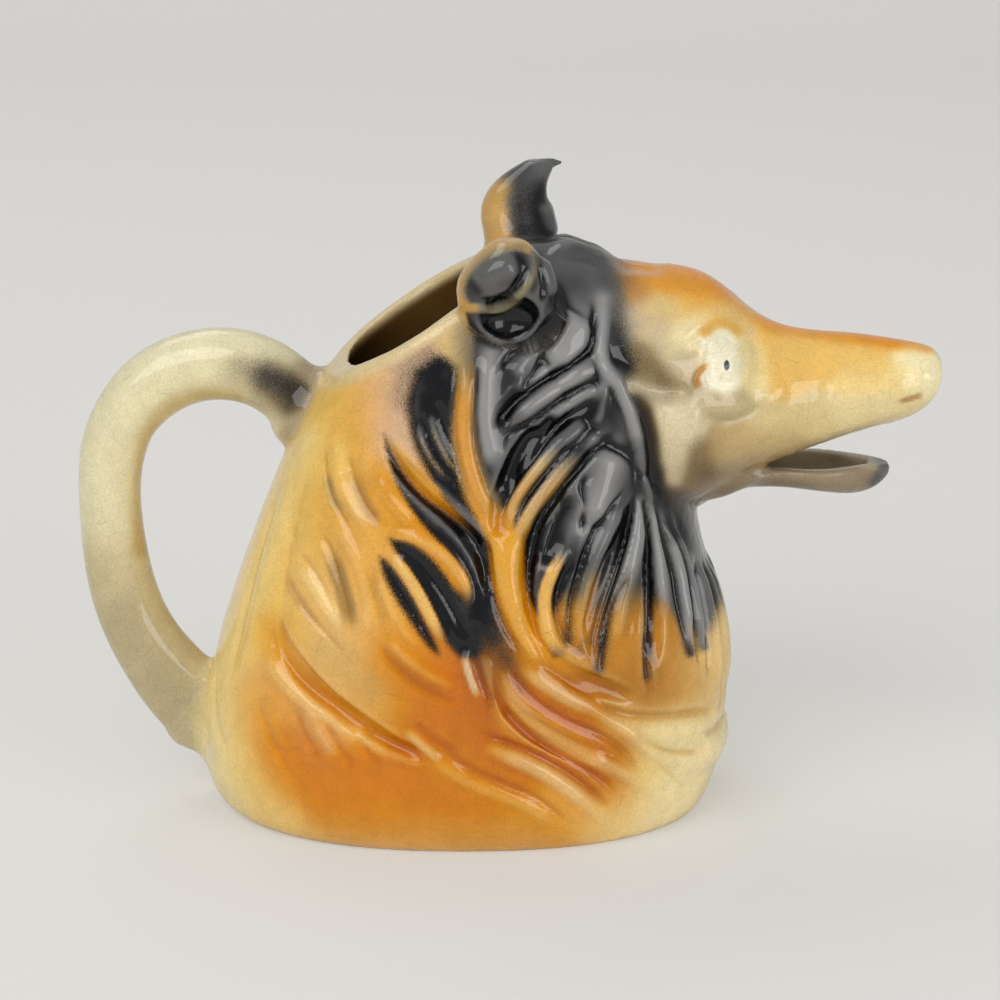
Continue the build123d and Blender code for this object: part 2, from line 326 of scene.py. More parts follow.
# Which cast piece each point of the skin belongs to
def labelPoints(points, edges):
    labels = np.zeros(len(points), int)
    best = np.full(len(points), -1.0)
    bodyTree = nodeTree("body_casting")
    for label, name in enumerate(pieceNames[1:], 1):
        tree = nodeTree(name)
        for i in nearPiece(points, name, skin["labelMargin"]):
            place = Vector(points[i])
            if best[i] < 0:
                found = bodyTree.find_nearest(place, skin["labelReach"])
                best[i] = found[3] if found[0] else skin["labelReach"]
            found = tree.find_nearest(place, skin["labelReach"])
            if found[0] and found[3] < best[i]:
                best[i] = found[3]
                labels[i] = label
    rounds = skin["labelRounds"]
    shares = [soften((labels == k).astype(float), edges, rounds) for k in range(len(pieceNames))]
    return keepLargest(np.stack(shares, 1).argmax(1), edges)


# Gives stray islands of a piece to the body
def keepLargest(labels, edges):
    same = edges[labels[edges[:, 0]] == labels[edges[:, 1]]]
    island = np.arange(len(labels))
    while True:
        lowest = np.minimum(island[same[:, 0]], island[same[:, 1]])
        merged = island.copy()
        np.minimum.at(merged, same[:, 0], lowest)
        np.minimum.at(merged, same[:, 1], lowest)
        merged = merged[merged]
        if (merged == island).all():
            break
        island = merged
    for label in range(1, len(pieceNames)):
        mine = np.nonzero(labels == label)[0]
        if len(mine):
            names, counts = np.unique(island[mine], return_counts=True)
            labels[mine[island[mine] != names[counts.argmax()]]] = 0
    return labels


# 1 on outer surfaces, 0 inside the cavity
def outwardShare(points, normals, edges):
    best = np.full(len(points), farOff)
    away = np.zeros_like(points)
    spine = np.array(cavity["spine"], float)
    for start, end in zip(spine, spine[1:]):
        off, _ = offSegment(points, start, end)
        distance = np.linalg.norm(off, axis=1)
        closer = distance < best
        best[closer] = distance[closer]
        away[closer] = off[closer]
    facing = (away * normals).sum(1) / np.maximum(best, tiny)
    share = soften(smoothStep(*cavity["facing"], facing), edges, cavity["edgeRounds"])
    x, y, z = cavity["earRoots"]
    underEar = (points[:, 0] > x) & (np.abs(points[:, 1]) > y) & (points[:, 2] > z)
    return np.where(underEar, 1, smoothStep(*cavity["edge"], share))


# How far a surface faces the view, or on the far side the mirrored view
def sideFacing(normals, y):
    sideways = normals[:, 1] * np.where(y < 0, -1, 1)
    return sideways * math.cos(view["elevation"]) + normals[:, 2] * math.sin(view["elevation"])


# Distance in mm from the plane of the filling mouth's rim, + above it
def rimDistance(points):
    (x0, z0), (x1, z1) = rim["rear"], rim["front"]
    cross = (x1 - x0) * (points[:, 2] - z0) - (z1 - z0) * (points[:, 0] - x0)
    return cross / math.hypot(x1 - x0, z1 - z0)


# 1 at the luted joints and along the rim, where the clay is smoothed most
def jointWeight(points):
    weight = 1 - smoothStep(*rim["roundReach"], np.abs(rimDistance(points)))
    behind = points[:, 0] < rim["rear"][0] - rim["overhang"][0]
    inFront = points[:, 0] > rim["front"][0] + rim["overhang"][1]
    weight[behind | inFront] = 0
    for name, reach in skin["jointReach"].items():
        tree = nodeTree(name)
        for i in nearPiece(points, name, reach):
            found = tree.find_nearest(Vector(points[i]), reach)
            if found[0]:
                weight[i] = max(weight[i], 1 - found[3] / reach)
    return weight


print("growing the skin")
points, faces, edges = meshArrays(growSkin())
print("points", len(points), "faces", len(faces))
labels = labelPoints(points, edges)
print("labels", dict(zip(pieceNames, np.bincount(labels, minlength=len(pieceNames)).tolist())))

print("smoothing the joints")
amount = skin["jointAmount"] * np.sqrt(jointWeight(points))
points = relax(points, edges, skin["jointRounds"], amount)
for place, reach, swelling in skin["sponged"]:
    apart = np.linalg.norm(points - place, axis=1)
    points = points + pointNormals(points, faces) * (swelling * np.exp(-(apart / reach) ** 2))[:, None]
for place, reach in skin["melted"]:
    apart = np.linalg.norm(points - place, axis=1)
    amount = skin["meltAmount"] * smoothStep(reach, reach / 2, apart)
    points = relax(points, edges, skin["meltRounds"], amount)
points = evenOut(points, edges, skin["evenRounds"])
normals = pointNormals(points, faces)
outside = outwardShare(points, normals, edges)

# Hair and paint of each part of the jug, in pixels of the view.
# relief: mm up (+) or in (-), reach to the walker's left and right, line.
# washes: colour, softness, line. Neighbouring washes run into each other.
# black: how much, softness, outline of the black stain.
# smudges: how much stain, reach, line.
# locks: colour or "wipe", how much, reach, line. They lie over the stain.
mane = {
    "depthShare": 0.8,
    "relief": [
        # The smooth lobe behind the seam, and the groove under it
        (1.5, 30, 30, [(578, 312), (562, 338), (546, 362)]),
        (-1.5, 7, 8, [(591, 296), (594, 322), (592, 345), (578, 360), (556, 374), (536, 387),
                      (516, 404), (501, 420), (493, 438)]),
        (-1.0, 12, 12, [(524, 388), (509, 406), (499, 430)]),
        (-0.9, 6, 6, [(550, 334), (546, 350), (537, 367), (526, 384), (519, 394)]),
        (-0.8, 5, 5, [(537, 328), (522, 344), (508, 357), (500, 372)]),
        (0.6, 9, 9, [(540, 342), (524, 360), (512, 378)]),
        # The seam down the neck, its column and the ridge to the cheek
        (1.1, 8, 8, [(598, 292), (603, 318), (600, 345), (605, 366), (618, 387), (631, 412),
                     (640, 446), (643, 480), (653, 508), (664, 532)]),
        (0.7, 7, 7, [(602, 362), (604, 386), (601, 410), (592, 430)]),
        (0.8, 12, 12, [(606, 362), (624, 380), (648, 389), (676, 392), (698, 404)]),
        # Locks that sweep down and back from the seam
        (0.9, 11, 11, [(600, 362), (576, 377), (552, 391), (530, 406), (512, 424)]),
        (-1.1, 6, 7, [(600, 376), (584, 386), (562, 399), (546, 411), (528, 423), (510, 433),
                      (501, 446)]),
        (0.8, 9, 9, [(600, 386), (581, 397), (564, 408), (548, 420)]),
        (-1.4, 13, 13, [(541, 424), (525, 442), (513, 466), (505, 494)]),
        (-1.0, 6, 7, [(580, 408), (562, 421), (546, 440), (532, 460), (518, 482), (507, 502),
                      (502, 526)]),
        (1.0, 9, 9, [(596, 410), (582, 426), (562, 443), (546, 460), (530, 477), (517, 495),
                     (509, 513), (506, 532)]),
        (-1.2, 6, 8, [(575, 440), (556, 460), (540, 480), (528, 496), (519, 512), (516, 526)]),
        (1.1, 10, 10, [(610, 414), (598, 432), (580, 452), (562, 471), (546, 490), (531, 508),
                       (521, 526), (516, 545)]),
        (-1.2, 7, 8, [(618, 428), (604, 441), (586, 459), (566, 481), (551, 501), (539, 523),
                      (532, 548), (528, 576), (529, 604), (536, 630), (546, 652)]),
        (-1.6, 18, 18, [(573, 490), (561, 515), (550, 545), (544, 570)]),
        (1.7, 24, 22, [(614, 446), (608, 472), (598, 502), (589, 526)]),
        (-0.9, 6, 6, [(590, 470), (582, 486), (584, 508), (581, 534)]),
        # The curl in the dark
        (1.1, 9, 9, [(566, 544), (554, 567), (546, 590), (545, 614), (552, 638), (566, 658)]),
        (-1.0, 8, 8, [(574, 556), (562, 580), (557, 604), (560, 628), (570, 648)]),
        # The fan over the chest
        (-1.1, 6, 6, [(626, 482), (614, 500), (600, 522), (588, 546), (578, 578), (571, 604),
                      (568, 634)]),
        (0.9, 9, 9, [(622, 502), (606, 534), (594, 562), (584, 592), (579, 624)]),
        (-0.8, 6, 6, [(612, 540), (600, 572), (590, 600), (584, 640)]),
        (-1.1, 7, 7, [(636, 482), (632, 512), (625, 540), (613, 578), (602, 610), (594, 642),
                      (594, 672)]),
        (1.1, 9, 9, [(640, 502), (637, 540), (628, 580), (620, 615), (616, 650)]),
        (-0.7, 6, 6, [(632, 566), (619, 592), (609, 618), (602, 648), (600, 678)]),
        (-1.3, 6, 6, [(640, 478), (645, 505), (648, 540), (649, 580), (649, 620), (647, 650),
                      (649, 684), (653, 712)]),
        (1.0, 8, 8, [(650, 498), (655, 542), (661, 586), (663, 622)]),
        (-1.2, 6, 6, [(647, 482), (657, 514), (664, 540), (673, 570), (678, 600), (683, 626),
                      (687, 656)]),
        (1.0, 8, 8, [(662, 518), (676, 556), (685, 596), (690, 640)]),
        (-1.1, 6, 6, [(658, 500), (672, 530), (686, 562), (692, 596), (696, 626), (700, 654),
                      (702, 690)]),
        (0.8, 7, 7, [(674, 524), (690, 562), (699, 604), (705, 640)]),
        (-0.9, 6, 6, [(672, 508), (686, 544), (697, 580), (704, 612), (710, 640)]),
        # The gold lock down the middle
        (1.3, 17, 17, [(508, 524), (506, 552), (508, 582), (518, 612), (536, 640), (560, 662),
                       (590, 682)]),
        (-1.1, 8, 8, [(487, 528), (489, 560), (494, 592), (503, 620), (516, 644), (532, 662)]),
        # Smooth lobe and ochre lock in front of the ruff's leaves
        (1.0, 13, 13, [(492, 346), (486, 380), (484, 414), (489, 448), (498, 476)]),
        (-0.9, 6, 6, [(480, 356), (475, 396), (475, 432), (480, 464), (489, 492), (498, 514)]),
        (0.7, 11, 11, [(470, 360), (465, 395), (464, 430), (469, 464), (479, 494), (492, 520)]),
        (-0.9, 6, 6, [(458, 352), (456, 390), (453, 420), (457, 455), (465, 485), (475, 508)]),
    ],
    "washes": [
        ("#a39c90", 26, [(520, 300), (560, 280), (590, 300)]),
        ("#4a4846", 40, [(560, 330), (560, 420), (600, 500), (640, 560)]),
    ],
    "black": [
        (0.99, 7, [(474, 342), (468, 318), (476, 296), (505, 270), (530, 240), (580, 232), (602, 250),
                   (607, 290), (610, 350), (624, 384), (640, 420), (650, 470), (662, 500), (690, 524),
                   (702, 560), (700, 580), (660, 572), (620, 556), (596, 560), (570, 580), (552, 610),
                   (544, 636), (532, 612), (526, 590), (524, 560), (522, 540), (508, 520), (500, 500),
                   (486, 470), (478, 430), (476, 390)]),
        (0.97, 15, [(530, 540), (600, 530), (660, 530), (712, 540), (722, 590), (710, 630),
                    (690, 622), (668, 600), (646, 588), (620, 566), (592, 566), (570, 580),
                    (558, 606), (546, 622), (532, 600)]),
        # Leaves behind the ruff
        (0.98, 10, [(416, 372), (438, 356), (456, 368), (457, 400), (453, 432), (457, 462),
                    (466, 496), (480, 524), (490, 548), (490, 600), (484, 626), (474, 626),
                    (474, 600), (468, 572), (455, 548), (440, 530), (470, 540), (455, 512),
                    (436, 492), (424, 468), (412, 440), (408, 405)]),
        (0.98, 6, [(384, 433), (394, 456), (408, 478), (424, 496), (446, 512), (466, 528), (482, 548),
                   (490, 580), (488, 624), (476, 630), (474, 600), (464, 572), (448, 552), (430, 534),
                   (414, 514), (398, 488), (388, 460)]),
        (0.98, 7, [(388, 538), (410, 542), (430, 556), (448, 578), (462, 602), (472, 620), (480, 650),
                   (464, 660), (446, 642), (430, 612), (414, 586), (400, 562)]),
        (0.92, 7, [(379, 556), (390, 562), (405, 582), (420, 608), (440, 652), (430, 650), (412, 626),
                   (394, 598), (382, 574)]),
        (0.72, 14, [(462, 596), (496, 590), (500, 616), (504, 638), (492, 648), (474, 646),
                    (454, 630)]),
    ],
    "smudges": [
        (0.42, 15, [(488, 600), (494, 630), (506, 650)]),
        (0.4, 18, [(424, 352), (408, 372), (402, 400)]),
        (0.35, 10, [(476, 655), (484, 680), (492, 705)]),
        (0.35, 10, [(506, 660), (522, 690)]),
        (0.30, 16, [(560, 640), (580, 650), (600, 640)]),
        (0.60, 6, [(574, 580), (569, 606), (568, 640)]),
        (0.55, 6, [(604, 570), (596, 600), (592, 640)]),
        (0.60, 7, [(622, 566), (610, 600), (602, 640), (598, 668)]),
        (0.80, 7, [(546, 600), (548, 630), (556, 652)]),
        (0.85, 6, [(649, 580), (649, 612), (647, 640), (648, 676)]),
        (0.85, 7, [(668, 580), (678, 606), (686, 636), (690, 652)]),
        (0.80, 7, [(690, 600), (698, 626), (704, 646)]),
        (0.35, 9, [(614, 590), (604, 625), (600, 670)]),
        (0.30, 6, [(650, 640), (652, 690)]),
        (0.25, 6, [(592, 600), (580, 650)]),
    ],
    # Where the black is painted grey: painted reflections on the glossy lobes, and the black running
    # thin: how much, reach, line
    "thinAndSheen": [
        (0.75, 24, [(530, 312), (552, 316), (576, 328), (566, 348), (548, 364)]),
        (0.7, 12, [(492, 346), (486, 380), (484, 414), (490, 450)]),
        (0.5, 8, [(598, 366), (574, 380), (550, 394), (528, 408)]),
        (0.5, 7, [(600, 388), (578, 400), (558, 412)]),
        (0.65, 19, [(614, 452), (606, 478), (596, 506), (590, 526)]),
        (0.7, 9, [(603, 300), (601, 345), (606, 368), (622, 396), (636, 432)]),
        (0.7, 9, [(640, 506), (634, 550), (624, 590)]),
        (0.7, 9, [(654, 520), (660, 570), (662, 612)]),
        (0.7, 9, [(676, 550), (686, 596), (690, 634)]),
        (0.5, 8, [(692, 560), (702, 606), (706, 640)]),
        (0.22, 24, [(560, 262), (588, 268), (598, 290)]),
    ],
    "locks": [
        ("#d08830", 0.97, 9, [(470, 352), (465, 390), (463, 430), (469, 464), (480, 496), (493, 524),
                              (500, 545)]),
        ("#e09830", 0.95, 15, [(506, 536), (506, 560), (509, 586), (520, 614), (538, 640), (562, 662)]),
        ("#d9a050", 0.85, 7, [(562, 442), (542, 464), (526, 484), (514, 504), (507, 524), (505, 545)]),
        ("#d8a45a", 0.85, 8, [(580, 452), (562, 472), (546, 492), (532, 510), (522, 530), (514, 555)]),
        ("#a9a08e", 0.40, 6, [(566, 442), (546, 460), (528, 480)]),
        ("#b3a892", 0.45, 6, [(586, 446), (564, 470), (546, 490)]),
        ("#e3a84c", 0.95, 7, [(570, 538), (562, 554), (551, 576), (545, 596), (546, 618), (553, 640),
                              (568, 660)]),
        ("#c98b3e", 0.60, 6, [(600, 566), (590, 596), (584, 626), (580, 650)]),
        ("#dd9b40", 0.97, 6, [(386, 533), (412, 536), (436, 550), (456, 570), (468, 590), (470, 606)]),
        ("#e2a244", 0.9, 5, [(390, 434), (402, 456), (416, 474), (434, 490), (448, 504)]),
        ("#e8b35a", 0.97, 6, [(384, 548), (402, 568), (420, 596), (434, 624), (446, 646)]),
        ("#c9c3b6", 0.35, 3, [(418, 424), (424, 446), (436, 466), (450, 482)]),
        ("#c9c3b6", 0.35, 3, [(428, 418), (437, 440), (447, 460), (456, 476)]),
        # A painted highlight: pale crescent of light on the lock
        ("#e4ddd0", 0.60, 4, [(465, 650), (467, 668), (473, 686), (480, 700)]),
    ],
}
ruff = {
    "depthShare": 0.6,
    "softness": 1.6,
    "relief": [
        # Leaves behind the ruff
        (-0.9, 8, 8, [(424, 356), (411, 385), (409, 412), (416, 440), (431, 464), (450, 486)]),
        (0.7, 5, 5, [(417, 420), (421, 440), (432, 462), (448, 482)]),
        (-0.6, 4, 4, [(423, 412), (428, 432), (438, 454), (452, 474)]),
        (0.7, 5, 5, [(429, 412), (438, 436), (450, 462)]),
        (-0.6, 5, 5, [(438, 400), (444, 425), (453, 452)]),
        (-1.0, 6, 8, [(384, 434), (393, 457), (406, 478), (423, 496), (446, 514), (468, 532),
                      (480, 552), (486, 585), (486, 620)]),
        (0.9, 7, 7, [(386, 424), (398, 447), (412, 467), (430, 486), (448, 502), (468, 518),
                     (484, 540)]),
        (-0.9, 8, 8, [(420, 520), (444, 536), (462, 556), (474, 584), (478, 620)]),
        (1.0, 7, 7, [(386, 532), (412, 537), (437, 551), (457, 571), (469, 592), (470, 608)]),
        (-1.1, 7, 8, [(396, 546), (418, 562), (438, 586), (454, 612), (468, 642)]),
        (0.8, 6, 6, [(386, 550), (404, 571), (422, 599), (436, 626), (448, 648)]),
        (-1.0, 7, 7, [(380, 558), (394, 580), (409, 604), (424, 628), (440, 654)]),
        (0.6, 7, 7, [(372, 570), (386, 600), (402, 628), (420, 652)]),
        # Locks where the mane ends
        (0.9, 5, 5, [(464, 646), (466, 664), (472, 684), (480, 702)]),
        (-0.9, 6, 6, [(472, 640), (476, 664), (484, 688), (494, 708)]),
        (0.8, 7, 7, [(484, 650), (488, 672), (496, 696), (510, 716)]),
        (1.3, 9, 9, [(499, 658), (503, 682), (515, 706), (540, 729), (575, 749), (610, 766),
                     (638, 784), (652, 802)]),
        (-1.3, 7, 9, [(508, 654), (520, 682), (541, 704), (571, 722), (604, 736), (625, 753),
                      (646, 781)]),
        (1.1, 8, 8, [(516, 658), (538, 680), (566, 698), (600, 714), (622, 728), (640, 744),
                     (662, 772)]),
        (-1.0, 7, 7, [(530, 656), (552, 672), (580, 690), (606, 704)]),
        (-1.2, 7, 9, [(490, 668), (498, 695), (515, 721), (545, 746), (580, 766), (610, 786),
                      (626, 806)]),
        # Folds round the bottom of the ruff
        (-1.3, 8, 10, [(590, 700), (612, 711), (640, 717), (668, 717), (696, 713), (722, 706)]),
        (1.5, 15, 17, [(612, 726), (640, 733), (672, 734), (700, 729), (724, 720)]),
        (-0.6, 6, 6, [(632, 730), (650, 744), (676, 752), (706, 752)]),
        (0.6, 8, 8, [(640, 745), (668, 762), (700, 766)]),
        (-0.5, 6, 6, [(650, 756), (672, 776), (690, 792)]),
        (-1.3, 8, 9, [(470, 730), (500, 741), (540, 757), (575, 778), (602, 800), (618, 818)]),
        (1.4, 9, 10, [(478, 742), (508, 756), (540, 770), (572, 791), (600, 815), (616, 832)]),
        (-1.2, 9, 9, [(438, 744), (468, 768), (505, 785), (537, 799), (562, 817), (580, 834)]),
        (0.7, 10, 10, [(420, 750), (455, 776), (495, 794), (530, 808), (556, 828)]),
        (0.8, 5, 5, [(403, 727), (422, 746), (444, 763)]),
        (-0.8, 8, 8, [(412, 720), (434, 740), (460, 755)]),
        (-0.6, 10, 10, [(360, 728), (392, 744), (424, 754)]),
        (0.6, 8, 8, [(345, 724), (372, 742), (404, 757), (436, 768)]),
        # Long locks down the rear
        (-0.8, 5, 6, [(326, 440), (325, 465), (331, 494), (342, 515), (354, 533)]),
        (0.7, 7, 7, [(336, 430), (336, 462), (342, 490), (356, 514), (372, 534)]),
        (-0.8, 7, 8, [(347, 446), (354, 478), (366, 505), (384, 530)]),
        (0.6, 9, 9, [(360, 440), (368, 468), (384, 496), (404, 518), (428, 540)]),
        (-1.0, 9, 9, [(317, 522), (330, 550), (340, 580), (348, 610), (353, 642)]),
        (0.7, 8, 8, [(330, 516), (348, 545), (362, 578), (368, 612), (366, 645)]),
        (-0.7, 7, 7, [(281, 566), (295, 594), (312, 618), (332, 640), (352, 664)]),
        (0.6, 8, 8, [(296, 560), (312, 586), (328, 610), (344, 632)]),
        (-0.5, 5, 5, [(291, 544), (309, 564), (324, 589), (334, 618)]),
        (-0.4, 8, 8, [(300, 450), (292, 490), (290, 520), (296, 545)]),
        (-1.0, 12, 15, [(262, 600), (272, 630), (286, 662), (306, 686), (336, 707), (370, 727)]),
        (0.9, 12, 12, [(262, 648), (284, 682), (312, 706), (346, 726)]),
        (-0.7, 7, 7, [(294, 708), (306, 736), (322, 764)]),
        (0.5, 7, 7, [(304, 702), (320, 732), (338, 760)]),
        (-0.7, 7, 7, [(322, 716), (338, 746), (358, 772)]),
        (-0.6, 6, 6, [(350, 724), (364, 748), (386, 770)]),
        (-0.6, 7, 7, [(256, 690), (266, 726), (280, 756), (296, 784)]),
        (-0.8, 7, 7, [(374, 636), (390, 660), (414, 682), (444, 698), (470, 706)]),
        (0.7, 8, 8, [(384, 634), (404, 656), (432, 676), (462, 690)]),
    ],
    "washes": [
        # The rear edge, ivory running into yellow
        ("#efdca2", 9, [(305, 440), (272, 530), (246, 600), (223, 660), (212, 710), (214, 760),
                        (232, 810)]),
        ("#f2d384", 15, [(318, 400), (296, 480), (266, 570), (240, 650), (230, 720), (244, 775),
                         (280, 815)]),
        ("#edbe60", 22, [(338, 380), (320, 470), (290, 560), (262, 640), (258, 690)]),
        # Behind the ear, peach and lilac
        ("#e6b488", 16, [(372, 370), (380, 410), (386, 440)]),
        ("#c9ab8e", 11, [(402, 372), (402, 410), (398, 440)]),
        ("#e4a644", 15, [(346, 410), (352, 450), (364, 480), (384, 508)]),
        ("#de9430", 15, [(392, 490), (420, 526), (446, 552)]),
        ("#ecba70", 18, [(300, 560), (320, 600), (350, 640)]),
        ("#e9ae56", 16, [(372, 560), (388, 610), (400, 650)]),
        ("#e0a656", 16, [(350, 515), (368, 555)]),
        ("#e0a94e", 16, [(320, 500), (330, 530)]),
        ("#e2b66c", 17, [(318, 650), (345, 675), (375, 700)]),
        ("#c6a266", 10, [(335, 648), (352, 670), (372, 690)]),
        # The orange band and what lies under it
        ("#db8820", 10, [(268, 628), (284, 660), (306, 686), (336, 708), (366, 726)]),
        ("#e4a868", 13, [(262, 682), (290, 702), (330, 724)]),
        ("#dc8626", 17, [(268, 700), (276, 740), (290, 776), (330, 796), (380, 804)]),
        ("#cf8246", 8, [(302, 732), (316, 762), (332, 780)]),
        ("#d07b24", 22, [(330, 782), (400, 790), (470, 796)]),
        ("#d8932c", 9, [(440, 768), (480, 788), (520, 808), (560, 832)]),
        ("#d89c4a", 14, [(340, 826), (420, 834), (500, 840), (570, 836)]),
        ("#f0c878", 9, [(270, 818), (330, 846), (420, 858), (520, 862), (600, 856)]),
        # Deep orange in the middle and towards the chest
        ("#ca7616", 26, [(404, 690), (440, 720), (500, 740), (560, 760)]),
        ("#b86414", 15, [(470, 690), (500, 725), (545, 750), (590, 775)]),
        ("#bf6c18", 18, [(520, 690), (570, 715), (612, 740)]),
        ("#d67c1c", 18, [(400, 655), (440, 688)]),
        ("#f2b75f", 15, [(560, 796), (598, 820)]),
        ("#c4701a", 13, [(590, 758), (612, 788)]),
        ("#7d5426", 13, [(472, 622), (490, 645), (500, 664)]),
        ("#dd9526", 14, [(505, 560), (515, 610), (545, 655)]),
        ("#c4842f", 18, [(560, 662), (600, 650), (636, 630)]),
        ("#b0742e", 13, [(600, 684), (640, 694)]),
        ("#be8238", 15, [(662, 640), (668, 690)]),
        ("#d8aa60", 12, [(690, 660), (698, 700)]),
        ("#e6c484", 10, [(714, 640), (722, 690)]),
        # Cream at the bottom of the chest
        ("#efd898", 13, [(622, 724), (660, 736), (706, 726)]),
        ("#f8e3ac", 24, [(692, 748), (692, 782), (666, 812), (632, 846)]),
        ("#efcf84", 14, [(640, 772), (626, 802), (602, 838)]),
    ],
    "locks": [
        # The next three are painted highlights: pale crescents of light on the locks
        ("#f0d8a8", 0.42, 8, [(500, 662), (505, 686), (518, 708), (542, 730), (576, 750), (610, 768),
                              (638, 786)]),
        ("#efd9ac", 0.35, 7, [(518, 662), (540, 682), (568, 700), (600, 715)]),
        ("#f0dcb0", 0.42, 9, [(482, 744), (510, 757), (542, 772), (574, 793), (602, 818)]),
        ("#f0dcb0", 0.35, 5, [(404, 729), (422, 746), (443, 762)]),
        ("#f2cf86", 0.45, 7, [(340, 420), (344, 460), (356, 500), (378, 536)]),
        ("#c98a34", 0.40, 6, [(368, 452), (378, 486), (398, 516), (420, 540)]),
        ("#f4d795", 0.45, 8, [(300, 560), (322, 596), (346, 630)]),
        ("#b5823e", 0.40, 6, [(368, 560), (378, 596), (388, 636)]),
        ("#f0c878", 0.40, 7, [(262, 646), (284, 682), (314, 708), (350, 730), (400, 760)]),
        ("#b9702a", 0.40, 8, [(376, 640), (396, 664), (424, 686), (456, 700)]),
        ("#eab368", 0.35, 7, [(300, 700), (318, 732), (340, 762)]),
        ("#9c8356", 0.5, 5, [(326, 470), (332, 495), (344, 516)]),
        ("#a07c50", 0.45, 7, [(352, 470), (366, 504), (384, 530)]),
        ("#7f6440", 0.55, 9, [(326, 545), (338, 575), (347, 606), (352, 635)]),
        ("#b58a58", 0.4, 6, [(284, 572), (300, 602), (322, 630)]),
        ("#a4702e", 0.45, 6, [(600, 604), (592, 640), (594, 672)]),
        ("#9a6a2c", 0.4, 8, [(652, 650), (656, 690)]),
    ],
}
